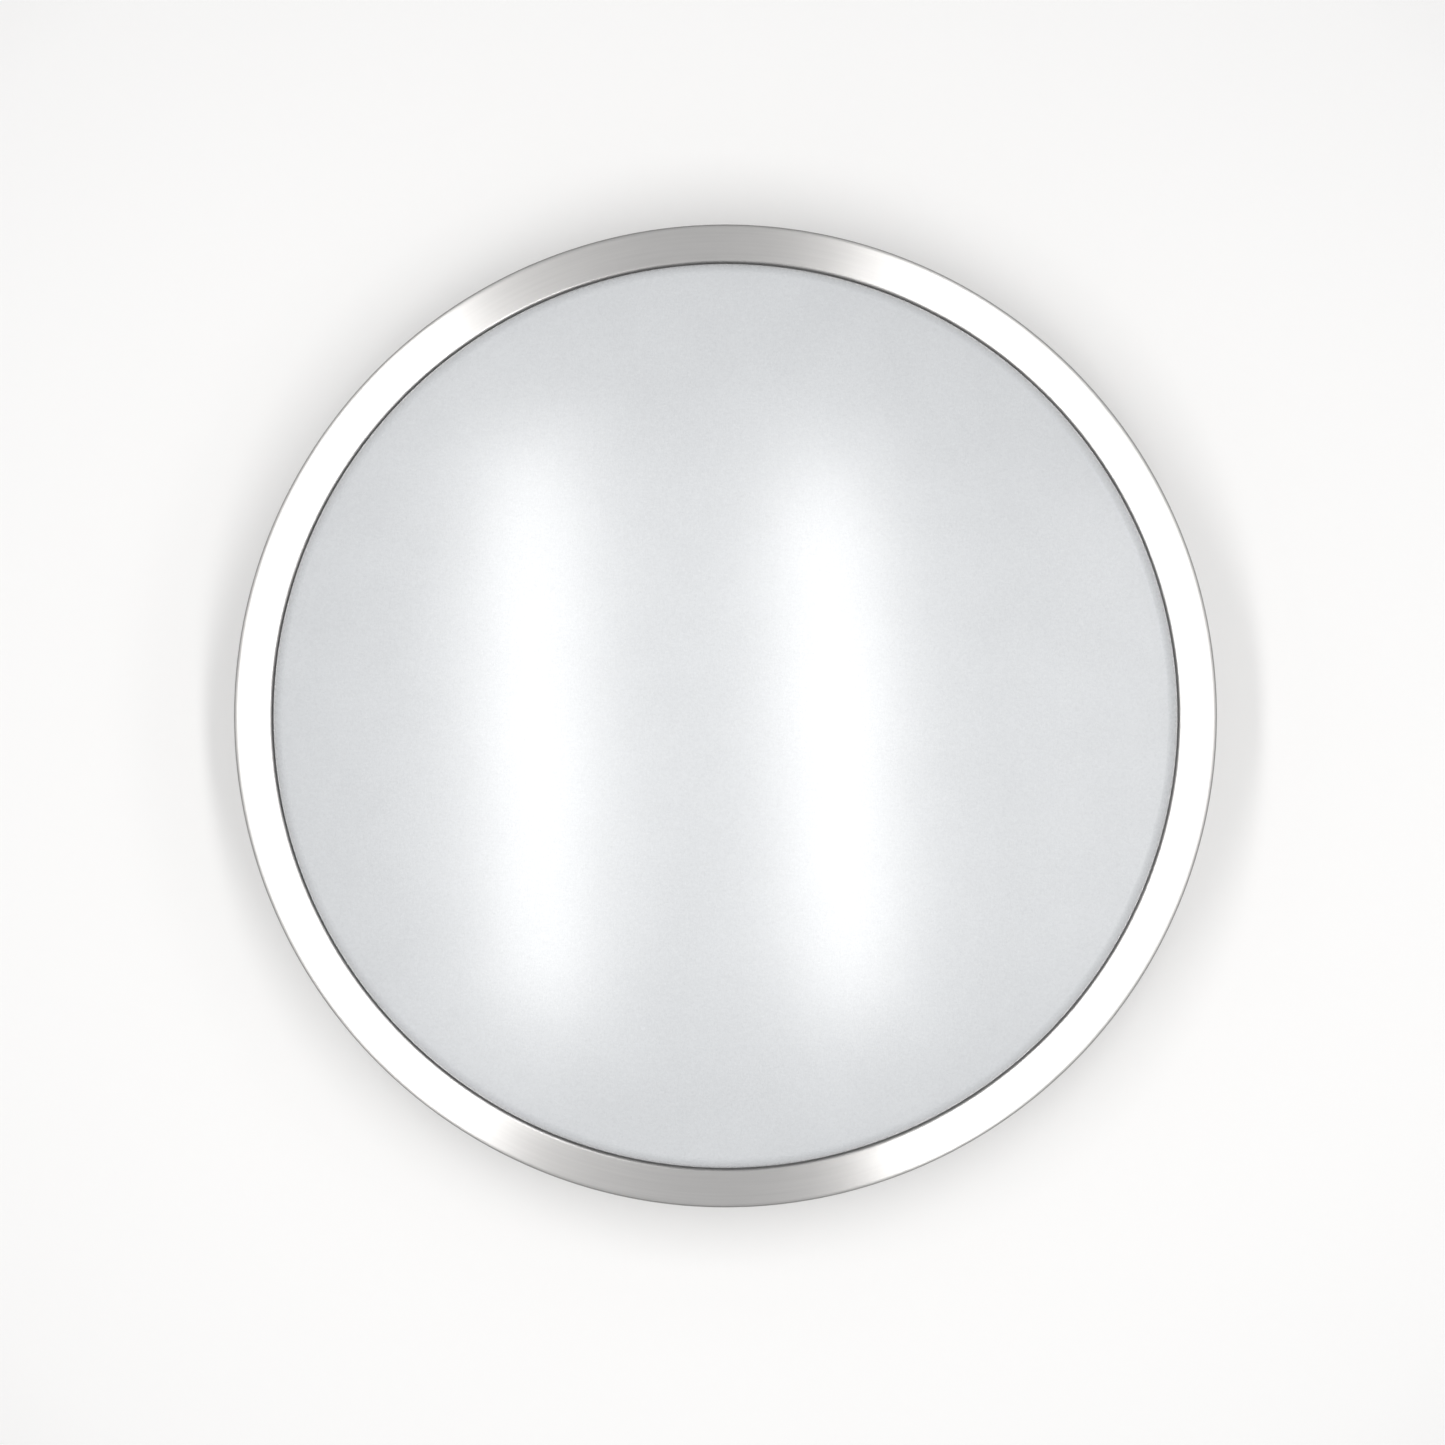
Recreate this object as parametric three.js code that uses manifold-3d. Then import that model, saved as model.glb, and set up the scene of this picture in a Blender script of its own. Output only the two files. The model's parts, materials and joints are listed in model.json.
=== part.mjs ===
// Round illuminated sign with a blank opal dome in a brushed nickel ring.
// Millimetres. +Z points out of the face, and z = 0 is the flat back of the pan.

import * as THREE from 'three';
import { mergeVertices } from 'three/addons/utils/BufferGeometryUtils.js';
import Module from 'manifold-3d';

const wasm = await Module();
wasm.setup();

// ---------------------------------------------------------------- driving dimensions

const ROUND_STEPS = 48;
const HOLE_STEPS = 12;
const GAP = 0.3;

const RING_OUTER_R = 165;
const RING_OPENING_R = 152.2;
const RING_TOP_Z = 46;
const RING_FOOT_Z = 14;
const RING_SHEET = 1;
const RING_EDGE_R = 1.6;
const RING_LIP_R = 0.8;
const RING_LIP_DEPTH = 3.4;

const DOME_TOP_Z = 60;
const DOME_WALL = 2;
const DOME_SIDE_R = 151.4;
const DOME_SHOULDER_R = 5;
const DOME_CROWN_RISE = 9.6;
const DOME_FLANGE_R = 158.3;
const DOME_FLANGE_TOP_Z = 41.5;

const PAN_R = 156;
const PAN_SHEET = 1;
const PAN_TOP_Z = 30;
const PAN_CORNER_R = 5;
const PAN_HEM_OUT = 1.5;
const SEAT_INNER_R = 77;
const SEAT_OUTER_R = 137;
const SEAT_RISE = 3;
const SEAT_SLOPE = 4;

const KEYHOLE_X = 44.45;
const KEYHOLE_HEAD_R = 4.8;
const KEYHOLE_SLOT_R = 2.5;
const KEYHOLE_TRAVEL = 12;
const INLET_R = 11;

const SPRING_ANGLES = [30, 150, 270];
const SPRING_WIDTH = 12;
const SPRING_SHEET = 0.6;
const SPRING_REACH_R = 163.3;
const SPRING_FOOT_Z = 12.5;
const SPRING_FOLD_Z = 26;
const SPRING_RIVET_Z = 16;
const RIVET_SHANK_R = 1.4;
const RIVET_HEAD_R = 2.6;
const RIVET_HEAD = 1.2;

const CLIP_ANGLES = [45, 135, 225, 315];
const CLIP_WIDTH = 14;
const CLIP_SHEET = 0.8;
const CLIP_OUTER_R = 163.3;
const CLIP_INNER_R = 154;
const CLIP_FOOT_Z = 30.5;

const BOARD_INNER_R = 80;
const BOARD_OUTER_R = 134;
const BOARD_SHEET = 1.6;
const BOARD_SCREW_R = 107;
const BOARD_SCREWS = 6;
const CHIP_RINGS = [{ radius: 94, count: 30 }, { radius: 120, count: 42 }];
const CHIP = new THREE.Vector3(2.8, 3.5, 0.8);

const SCREW_SHANK_R = 1.4;
const SCREW_HOLE_R = 1.75;
const SCREW_HEAD_R = 3;
const SCREW_HEAD = 2;

const DRIVER_CENTRE_Y = 36;
const DRIVER = new THREE.Vector3(84, 36, 22);
const DRIVER_WALL = 1.6;
const DRIVER_BASE_HEIGHT = 8;
const DRIVER_EAR = new THREE.Vector3(10, 10, 2);
const DRIVER_EAR_Y = 43;
const DRIVER_SCREW_X = 46.5;
const DRIVER_POST = 4;
const DRIVER_NOTCH_Y = 27;
const DRIVER_NOTCH = new THREE.Vector3(6, 9, 4);

const TERMINAL = new THREE.Vector3(21.6, 26, 11);
const TERMINAL_CENTRE_Y = -38;
const TERMINAL_PITCH = 6.6;
const TERMINAL_BAY = 5;
const LEVER_WIDTH = 4.4;
const LEVER_HEIGHT = 3;
const LEVER_LENGTH = 19;
const LEVER_PIVOT_Y = -46;
const LEVER_PIN_R = 0.8;
const LEVER_POLES = ['line', 'neutral', 'ground'];

const GROUND_X = 36;
const GROUND_Y = -40;
const WIRE_R = 1;
const WIRE_SIDES = 8;

const DEG = Math.PI / 180;
const floorTop = PAN_SHEET;
const seatTop = PAN_SHEET + SEAT_RISE;
const boardBottom = seatTop + GAP;
const boardTop = boardBottom + BOARD_SHEET;
const driverBottom = floorTop + GAP;
const driverSplit = driverBottom + DRIVER_BASE_HEIGHT;
const driverTop = driverBottom + DRIVER.z;
const driverBoardBottom = driverBottom + DRIVER_WALL + 2.4;
const driverBoardTop = driverBoardBottom + BOARD_SHEET;
const terminalBottom = floorTop + GAP;
const terminalTop = terminalBottom + TERMINAL.z;
const leverPivotZ = terminalTop - 2;
const terminalScrewX = TERMINAL.x / 2 + 4;

// ---------------------------------------------------------------- finishes

const FINISHES = {
  nickel: { color: 0xb9b7b2, roughness: 0.35, metalness: 1 },
  opal: { color: 0xe9eaec, roughness: 0.28, metalness: 0 },
  foam: { color: 0x8d8c90, roughness: 0.9, metalness: 0 },
  enamel: { color: 0xeeeeea, roughness: 0.4, metalness: 0 },
  spring: { color: 0xa9adb2, roughness: 0.3, metalness: 1 },
  zinc: { color: 0xc4c7cb, roughness: 0.35, metalness: 1 },
  boardWhite: { color: 0xf2f2ee, roughness: 0.45, metalness: 0 },
  boardGreen: { color: 0x2f6b46, roughness: 0.5, metalness: 0 },
  nylon: { color: 0xe4e4e0, roughness: 0.5, metalness: 0 },
  greyNylon: { color: 0xb4b6b8, roughness: 0.5, metalness: 0 },
  lever: { color: 0xd97a26, roughness: 0.4, metalness: 0 },
  rubber: { color: 0x2b2b2c, roughness: 0.7, metalness: 0 },
  blackWire: { color: 0x232325, roughness: 0.5, metalness: 0 },
  whiteWire: { color: 0xe8e6df, roughness: 0.5, metalness: 0 },
  greenWire: { color: 0x3f8f4c, roughness: 0.5, metalness: 0 },
  redWire: { color: 0xb3352c, roughness: 0.5, metalness: 0 },
  ferrite: { color: 0x4a4743, roughness: 0.6, metalness: 0 },
  greenScrew: { color: 0x4c8a57, roughness: 0.4, metalness: 1 },
};

const materials = {};
for (const [name, values] of Object.entries(FINISHES)) {
  materials[name] = new THREE.MeshStandardMaterial(values);
}

// ---------------------------------------------------------------- outlines

const point = (x, y) => new THREE.Vector2(x, y);

// Points on a circle about (x, y) from one angle to another, in degrees, both ends included.
function arc(x, y, radius, from, to, steps) {
  const points = [];
  for (let i = 0; i <= steps; i += 1) {
    const angle = (from + (to - from) * i / steps) * DEG;
    points.push(point(x + radius * Math.cos(angle), y + radius * Math.sin(angle)));
  }
  return points;
}

// Closed outline of a sheet whose middle line is given: every point is moved half the sheet's thickness
// to both sides along the mitre of its two stretches. A point on the axis moves straight up and down.
function sheetOutline(middle, thickness) {
  const upper = [];
  const lower = [];
  middle.forEach((here, i) => {
    const before = middle[i - 1] ?? here;
    const after = middle[i + 1] ?? here;
    const arriving = here.clone().sub(before).normalize();
    const leaving = after.clone().sub(here).normalize();
    const along = arriving.clone().add(leaving).normalize();
    const across = here.x === 0 ? point(0, 1) : point(-along.y, along.x);
    const longest = Math.max(arriving.dot(along), leaving.dot(along));
    across.multiplyScalar(thickness / 2 / longest);
    upper.push(here.clone().add(across));
    lower.unshift(here.clone().sub(across));
  });
  return [...upper, ...lower];
}

function rectangle(x0, y0, x1, y1) {
  return [point(x0, y0), point(x1, y0), point(x1, y1), point(x0, y1)];
}

// ---------------------------------------------------------------- solids

// Merges shared vertices, drops slivers that the merge leaves, and turns the faces outwards.
function closed(geometry) {
  const bare = geometry.clone();
  bare.deleteAttribute('normal');
  bare.deleteAttribute('uv');
  const merged = mergeVertices(bare, 1e-4);
  const old = merged.index.array;
  const position = merged.attributes.position;
  const corners = [new THREE.Vector3(), new THREE.Vector3(), new THREE.Vector3()];
  const kept = [];
  let volume = 0;
  for (let i = 0; i < old.length; i += 3) {
    const [a, b, c] = [old[i], old[i + 1], old[i + 2]];
    if (a === b || b === c || c === a) continue;
    kept.push(a, b, c);
    [a, b, c].forEach((index, k) => corners[k].fromBufferAttribute(position, index));
    volume += corners[0].dot(corners[1].clone().cross(corners[2]));
  }
  if (volume < 0) kept.reverse();
  merged.setIndex(kept);
  return merged;
}

// A profile of (radius, height) points turned about Z; an outline off the axis is closed on itself.
function turned(profile, steps = ROUND_STEPS) {
  const onAxis = profile[0].x === 0 && profile[profile.length - 1].x === 0;
  const points = onAxis ? profile : [...profile, profile[0]];
  const geometry = new THREE.LatheGeometry(points, steps);
  geometry.rotateX(Math.PI / 2);
  geometry.rotateZ(Math.PI / 2);
  return closed(geometry);
}

// An outline in X and Y pushed up along Z.
function extruded(outline, height) {
  return closed(new THREE.ExtrudeGeometry(new THREE.Shape(outline), { depth: height, bevelEnabled: false }));
}

// A block given by its lowest and highest corners.
function block(x0, y0, z0, x1, y1, z1) {
  const geometry = new THREE.BoxGeometry(x1 - x0, y1 - y0, z1 - z0);
  geometry.translate((x0 + x1) / 2, (y0 + y1) / 2, (z0 + z1) / 2);
  return closed(geometry);
}

// A block of the given size about its centre.
function blockAt(width, depth, height, x, y, z) {
  const geometry = new THREE.BoxGeometry(width, depth, height);
  geometry.translate(x, y, z);
  return closed(geometry);
}

// An upright round bar; turn 'x' or 'y' lays it along that axis.
function bar(radius, x, y, z, length, turn = 'z', steps = HOLE_STEPS) {
  const geometry = new THREE.CylinderGeometry(radius, radius, length, steps);
  if (turn === 'z') geometry.rotateX(Math.PI / 2);
  if (turn === 'x') geometry.rotateZ(Math.PI / 2);
  geometry.translate(x, y, z);
  return closed(geometry);
}

function toSolid(geometry) {
  return new wasm.Manifold(new wasm.Mesh({
    numProp: 3,
    vertProperties: new Float32Array(geometry.attributes.position.array),
    triVerts: new Uint32Array(geometry.index.array),
  }));
}

function fromSolid(solid) {
  const mesh = solid.getMesh();
  const geometry = new THREE.BufferGeometry();
  geometry.setAttribute('position', new THREE.BufferAttribute(mesh.vertProperties, mesh.numProp));
  geometry.setIndex(new THREE.BufferAttribute(mesh.triVerts, 1));
  return geometry;
}

function join(first, ...others) {
  return fromSolid(others.reduce((sum, geometry) => sum.add(toSolid(geometry)), toSolid(first)));
}

function cut(first, ...tools) {
  return fromSolid(tools.reduce((rest, geometry) => rest.subtract(toSolid(geometry)), toSolid(first)));
}

// A round wire along a smooth curve through points chosen by hand.
function wireAlong(route, radius = WIRE_R) {
  const curve = new THREE.CatmullRomCurve3(route.map((at) => new THREE.Vector3(...at)), false, 'centripetal');
  const section = new THREE.Shape(arc(0, 0, radius, 0, 360 - 360 / WIRE_SIDES, WIRE_SIDES - 1));
  const steps = Math.round(curve.getLength() / (radius * 5));
  return closed(new THREE.ExtrudeGeometry(section, { steps, bevelEnabled: false, extrudePath: curve }));
}

// Domed screw head over a straight shank that ends at zero height.
function screw(shank) {
  const crown = arc(0, shank + SCREW_HEAD - SCREW_HEAD_R, SCREW_HEAD_R, 20, 90, 3).slice(0, -1);
  return turned([
    point(0, 0),
    point(SCREW_SHANK_R, 0),
    point(SCREW_SHANK_R, shank),
    point(SCREW_HEAD_R, shank),
    point(SCREW_HEAD_R, shank + 0.5),
    ...crown.filter((at) => at.y > shank + 0.6),
    point(0, shank + SCREW_HEAD),
  ], HOLE_STEPS);
}

// ---------------------------------------------------------------- scene graph

const sign = new THREE.Group();
const housing = new THREE.Group();
const face = new THREE.Group();
sign.add(housing, face);

function add(group, name, geometry, material) {
  const mesh = new THREE.Mesh(geometry, material);
  mesh.name = name;
  group.add(mesh);
  return mesh;
}

// A copy of a piece that stands at an angle about the sign's axis.
function addAround(group, name, geometry, material, degrees) {
  const mesh = add(group, name, geometry, material);
  mesh.rotation.z = degrees * DEG;
  return mesh;
}

// ---------------------------------------------------------------- face: ring, dome, gasket, clips

function trimRing() {
  const half = RING_SHEET / 2;
  const top = RING_TOP_Z - half;
  const edge = RING_EDGE_R - half;
  const lip = RING_LIP_R - half;
  return turned(sheetOutline([
    point(RING_OPENING_R + half, RING_TOP_Z - RING_LIP_DEPTH),
    ...arc(RING_OPENING_R + RING_LIP_R, RING_TOP_Z - RING_LIP_R, lip, 180, 90, 2),
    ...arc(RING_OUTER_R - RING_EDGE_R, RING_TOP_Z - RING_EDGE_R, edge, 90, 0, 4),
    point(RING_OUTER_R - half, RING_FOOT_Z),
  ], RING_SHEET), ROUND_STEPS);
}

// The crown is a shallow arc of a sphere. It runs into a rounded shoulder, a short straight side,
// and a flat flange that hides under the ring.
function domeLens() {
  const half = DOME_WALL / 2;
  const crownEdgeR = DOME_SIDE_R - DOME_SHOULDER_R;
  const sphere = (crownEdgeR ** 2 + DOME_CROWN_RISE ** 2) / 2 / DOME_CROWN_RISE;
  const slope = Math.asin(crownEdgeR / sphere) / DEG;
  const shoulder = DOME_SHOULDER_R - half;
  const shoulderZ = DOME_TOP_Z - DOME_CROWN_RISE - DOME_SHOULDER_R;
  const crown = arc(0, DOME_TOP_Z - sphere, sphere - half, 90, 90 - slope, 6).slice(0, -1);
  crown[0].x = 0;
  return turned(sheetOutline([
    ...crown,
    ...arc(crownEdgeR, shoulderZ, shoulder, 90 - slope, 0, 4),
    point(DOME_SIDE_R - half, DOME_FLANGE_TOP_Z - half),
    point(DOME_FLANGE_R, DOME_FLANGE_TOP_Z - half),
  ], DOME_WALL), ROUND_STEPS);
}

function lensGasket() {
  const inner = RING_OPENING_R + RING_SHEET + GAP;
  return turned(rectangle(inner, DOME_FLANGE_TOP_Z + GAP, DOME_FLANGE_R, RING_TOP_Z - RING_SHEET - GAP));
}

// An angle bracket: its leg stands inside the skirt and its foot reaches in under the dome's flange.
function lensClip() {
  const half = CLIP_SHEET / 2;
  const footZ = DOME_FLANGE_TOP_Z - DOME_WALL - GAP - half;
  const bend = 1.6;
  const outline = sheetOutline([
    point(CLIP_OUTER_R - half, CLIP_FOOT_Z),
    ...arc(CLIP_OUTER_R - half - bend, footZ - bend, bend, 0, 90, 3),
    point(CLIP_INNER_R, footZ),
  ], CLIP_SHEET);
  return standing(outline, CLIP_WIDTH);
}

// An outline in (radius, height) given a width across it, centred on the XZ plane.
function standing(outline, width) {
  const geometry = extruded(outline, width);
  geometry.translate(0, 0, -width / 2);
  geometry.rotateX(Math.PI / 2);
  return geometry;
}

add(face, 'trim_ring', trimRing(), materials.nickel);
add(face, 'dome_lens', domeLens(), materials.opal);
add(face, 'lens_gasket', lensGasket(), materials.foam);
CLIP_ANGLES.forEach((degrees, i) => {
  addAround(face, `lens_clip_${i + 1}`, lensClip(), materials.spring, degrees);
});

// ---------------------------------------------------------------- pan

// A keyhole: a round hole for the screw's head and a slot, towards +Y, that its neck slides into.
function keyholeCutter(x) {
  const depth = 4 * PAN_SHEET;
  const headY = -KEYHOLE_TRAVEL / 2;
  const slotY = KEYHOLE_TRAVEL / 2;
  const z = PAN_SHEET / 2;
  return join(
    bar(KEYHOLE_HEAD_R, x, headY, z, depth, 'z', 2 * HOLE_STEPS),
    block(x - KEYHOLE_SLOT_R, headY, z - depth / 2, x + KEYHOLE_SLOT_R, slotY, z + depth / 2),
    bar(KEYHOLE_SLOT_R, x, slotY, z, depth, 'z', HOLE_STEPS),
  );
}

function aroundZ(geometry, degrees) {
  const copy = geometry.clone();
  copy.rotateZ(degrees * DEG);
  return copy;
}

function backPan() {
  const half = PAN_SHEET / 2;
  const corner = PAN_CORNER_R - half;
  const shell = turned(sheetOutline([
    point(0, half),
    point(SEAT_INNER_R - SEAT_SLOPE, half),
    point(SEAT_INNER_R, half + SEAT_RISE),
    point(SEAT_OUTER_R, half + SEAT_RISE),
    point(SEAT_OUTER_R + SEAT_SLOPE, half),
    ...arc(PAN_R - PAN_CORNER_R, PAN_CORNER_R, corner, 270, 360, 3),
    point(PAN_R - half, PAN_TOP_Z - PAN_HEM_OUT - half),
    point(PAN_R - half + PAN_HEM_OUT, PAN_TOP_Z - half),
  ], PAN_SHEET));
  const seatHole = bar(SCREW_HOLE_R, BOARD_SCREW_R, 0, seatTop, 4 * PAN_SHEET);
  const wallHole = bar(RIVET_SHANK_R + GAP, PAN_R, 0, SPRING_RIVET_Z, 6 * PAN_SHEET, 'x');
  const seatHoles = [...Array(BOARD_SCREWS).keys()].map((i) => aroundZ(seatHole, i * 360 / BOARD_SCREWS));
  const floorHoles = [
    [-DRIVER_SCREW_X, DRIVER_EAR_Y],
    [DRIVER_SCREW_X, DRIVER_EAR_Y],
    [GROUND_X, GROUND_Y],
    [terminalScrewX, TERMINAL_CENTRE_Y],
  ].map(([x, y]) => bar(SCREW_HOLE_R, x, y, 0, 4 * PAN_SHEET));
  return cut(
    shell,
    bar(INLET_R, 0, 0, 0, 4 * PAN_SHEET, 'z', 2 * HOLE_STEPS),
    keyholeCutter(-KEYHOLE_X),
    keyholeCutter(KEYHOLE_X),
    ...seatHoles,
    ...floorHoles,
    ...SPRING_ANGLES.map((degrees) => aroundZ(wallHole, degrees)),
  );
}

add(housing, 'back_pan', backPan(), materials.enamel);

// A snap bush with a wide collar inside the pan and a barrel that fills the hole.
const bushOuter = INLET_R - GAP;
add(housing, 'inlet_bushing', turned([
  point(bushOuter - 2.6, GAP),
  point(bushOuter - 0.4, GAP),
  point(bushOuter, GAP + 0.4),
  point(bushOuter, floorTop + GAP),
  point(bushOuter + 2.6, floorTop + GAP),
  point(bushOuter + 2.6, floorTop + GAP + 1.1),
  point(bushOuter + 2.1, floorTop + GAP + 1.6),
  point(bushOuter - 1.6, floorTop + GAP + 1.6),
  point(bushOuter - 2.6, floorTop + GAP + 0.6),
], 2 * HOLE_STEPS), materials.rubber);

// ---------------------------------------------------------------- springs that grip the ring's skirt

// A leaf folded over at the top: one leg is riveted to the wall, the other bows out to the skirt.
function springClip() {
  const legR = PAN_R + GAP + SPRING_SHEET / 2;
  const reach = SPRING_REACH_R - SPRING_SHEET / 2;
  const fold = 1.2;
  const outline = sheetOutline([
    point(legR, SPRING_FOOT_Z),
    ...arc(legR + fold, SPRING_FOLD_Z, fold, 180, 40, 4),
    point(legR + 3.8, SPRING_FOLD_Z - 1.4),
    point(reach - 0.7, SPRING_FOLD_Z - 3.4),
    point(reach, SPRING_FOLD_Z - 5),
    point(reach - 0.7, SPRING_FOLD_Z - 6.6),
    point(legR + 3, SPRING_FOOT_Z + 2.1),
    point(legR + 3.3, SPRING_FOOT_Z + 1.1),
  ], SPRING_SHEET);
  const hole = bar(RIVET_SHANK_R + GAP, legR, 0, SPRING_RIVET_Z, 2, 'x');
  return cut(standing(outline, SPRING_WIDTH), hole);
}

// A rivet along X: two flat domed heads on one shank, with the wall and the leaf between them.
function springRivet() {
  const inner = PAN_R - PAN_SHEET - GAP;
  const outer = PAN_R + SPRING_SHEET + 2 * GAP;
  const geometry = turned([
    point(0, inner - RIVET_HEAD),
    point(RIVET_HEAD_R * 0.7, inner - RIVET_HEAD),
    point(RIVET_HEAD_R, inner - 0.4),
    point(RIVET_HEAD_R, inner),
    point(RIVET_SHANK_R, inner),
    point(RIVET_SHANK_R, outer),
    point(RIVET_HEAD_R, outer),
    point(RIVET_HEAD_R, outer + 0.4),
    point(RIVET_HEAD_R * 0.7, outer + RIVET_HEAD),
    point(0, outer + RIVET_HEAD),
  ], HOLE_STEPS);
  geometry.rotateY(Math.PI / 2);
  geometry.translate(0, 0, SPRING_RIVET_Z);
  return geometry;
}

SPRING_ANGLES.forEach((degrees, i) => {
  addAround(housing, `spring_clip_${i + 1}`, springClip(), materials.spring, degrees);
  addAround(housing, `spring_rivet_${i + 1}`, springRivet(), materials.zinc, degrees);
});

// ---------------------------------------------------------------- LED board

function ledBoard() {
  const disc = turned(rectangle(BOARD_INNER_R, boardBottom, BOARD_OUTER_R, boardTop));
  const sink = 0.2;
  const chips = CHIP_RINGS.flatMap(({ radius, count }) => [...Array(count).keys()].map((i) => {
    const chip = block(
      radius - CHIP.x / 2, -CHIP.y / 2, boardTop - sink,
      radius + CHIP.x / 2, CHIP.y / 2, boardTop + CHIP.z,
    );
    return aroundZ(chip, (i + 0.5) * 360 / count);
  }));
  const hole = bar(SCREW_HOLE_R, BOARD_SCREW_R, 0, boardTop, 3 * BOARD_SHEET);
  const holes = [...Array(BOARD_SCREWS).keys()].map((i) => aroundZ(hole, i * 360 / BOARD_SCREWS));
  return cut(join(disc, ...chips), ...holes);
}

add(housing, 'led_board', ledBoard(), materials.boardWhite);

const boardScrewFoot = 1;
for (let i = 0; i < BOARD_SCREWS; i += 1) {
  const turn = new THREE.Group();
  turn.rotation.z = i * 360 / BOARD_SCREWS * DEG;
  const piece = screw(boardTop + GAP - boardScrewFoot);
  add(turn, `board_screw_${i + 1}`, piece, materials.zinc).position.set(BOARD_SCREW_R, 0, boardScrewFoot);
  housing.add(turn);
}

// The socket on the board sits between two chips of the inner ring and faces the sign's middle.
const SOCKET = new THREE.Vector3(8, 8, 4);
const SOCKET_R = 88;
const SOCKET_ANGLE = 12;
const socketBottom = boardTop + GAP;
const socketWireZ = socketBottom + SOCKET.z / 2;
const ledWireSpread = 1.7;

function boardConnector() {
  const body = block(
    SOCKET_R - SOCKET.x / 2, -SOCKET.y / 2, socketBottom,
    SOCKET_R + SOCKET.x / 2, SOCKET.y / 2, socketBottom + SOCKET.z,
  );
  const entries = [-ledWireSpread, ledWireSpread].map((y) => (
    bar(WIRE_R + GAP, SOCKET_R - SOCKET.x / 2, y, socketWireZ, 6, 'x')
  ));
  const latch = block(
    SOCKET_R - 1.5, -2, socketBottom + SOCKET.z - 0.7,
    SOCKET_R + 2.5, 2, socketBottom + SOCKET.z + 1,
  );
  return cut(body, ...entries, latch);
}

addAround(housing, 'board_connector', boardConnector(), materials.nylon, SOCKET_ANGLE);

// ---------------------------------------------------------------- driver

const driverLeft = -DRIVER.x / 2;
const driverRight = DRIVER.x / 2;
const driverNear = DRIVER_CENTRE_Y - DRIVER.y / 2;
const driverFar = DRIVER_CENTRE_Y + DRIVER.y / 2;

// The case's outline between two heights, smaller all round by the inset.
function caseBlock(inset, bottom, top) {
  return block(
    driverLeft + inset, driverNear + inset, bottom,
    driverRight - inset, driverFar - inset, top,
  );
}

function driverBase() {
  const ears = [-1, 1].map((side) => blockAt(
    DRIVER_EAR.x, DRIVER_EAR.y, DRIVER_EAR.z,
    side * (driverRight + DRIVER_EAR.x / 2 - 1), DRIVER_EAR_Y, driverBottom + DRIVER_EAR.z / 2,
  ));
  const tray = cut(
    join(caseBlock(0, driverBottom, driverSplit), ...ears),
    caseBlock(DRIVER_WALL, driverBottom + DRIVER_WALL, driverSplit + 1),
    ...[-1, 1].map((side) => bar(SCREW_HOLE_R, side * DRIVER_SCREW_X, DRIVER_EAR_Y, driverBottom, 8)),
  );
  const sink = 0.2;
  const reachX = driverRight - DRIVER_WALL + sink - DRIVER_POST / 2;
  const reachY = DRIVER.y / 2 - DRIVER_WALL + sink - DRIVER_POST / 2;
  const postBottom = driverBottom + DRIVER_WALL - sink;
  const postTop = driverBoardBottom - GAP;
  const posts = [[-1, -1], [-1, 1], [1, -1], [1, 1]].map(([sideX, sideY]) => blockAt(
    DRIVER_POST, DRIVER_POST, postTop - postBottom,
    sideX * reachX, DRIVER_CENTRE_Y + sideY * reachY, (postTop + postBottom) / 2,
  ));
  return join(tray, ...posts);
}

function driverCover() {
  const bottom = driverSplit + GAP;
  const notches = [driverLeft, driverRight].map((x) => block(
    x - DRIVER_NOTCH.x / 2, DRIVER_NOTCH_Y - DRIVER_NOTCH.y / 2, bottom - 1,
    x + DRIVER_NOTCH.x / 2, DRIVER_NOTCH_Y + DRIVER_NOTCH.y / 2, bottom + DRIVER_NOTCH.z,
  ));
  return cut(
    caseBlock(0, bottom, driverTop),
    caseBlock(DRIVER_WALL, bottom - 1, driverTop - DRIVER_WALL),
    ...notches,
  );
}

function driverBoard() {
  const inset = DRIVER_WALL + 1.2;
  return caseBlock(inset, driverBoardBottom, driverBoardTop);
}

// A wound transformer: an upright core with a wider bobbin round its middle.
function driverTransformer() {
  const z = driverBoardTop + GAP;
  return join(
    block(4, 29, z, 20, 43, z + 3),
    block(6, 31, z + 2, 18, 41, z + 9),
    block(4, 29, z + 8, 20, 43, z + 12),
  );
}

add(housing, 'driver_base', driverBase(), materials.nylon);
add(housing, 'driver_cover', driverCover(), materials.nylon);
add(housing, 'driver_board', driverBoard(), materials.boardGreen);
add(housing, 'driver_transformer', driverTransformer(), materials.ferrite);
const innerZ = driverBoardTop + GAP;
add(housing, 'driver_capacitor', bar(5, -8, 42, innerZ + 6, 12, 'z', 16), materials.rubber);
const choke = add(housing, 'driver_choke', turned(rectangle(2.5, 0, 6, 5), 20), materials.ferrite);
choke.position.set(30, 42, innerZ);

for (const [side, name] of [[-1, 'driver_screw_left'], [1, 'driver_screw_right']]) {
  const piece = screw(driverBottom + DRIVER_EAR.z);
  add(housing, name, piece, materials.zinc).position.set(side * DRIVER_SCREW_X, DRIVER_EAR_Y, GAP);
}

// ---------------------------------------------------------------- lever terminal

const terminalNear = TERMINAL_CENTRE_Y - TERMINAL.y / 2;
const terminalFar = TERMINAL_CENTRE_Y + TERMINAL.y / 2;
const poleX = LEVER_POLES.map((_, i) => (i - 1) * TERMINAL_PITCH);
const entryZ = terminalBottom + 3.7;

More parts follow.
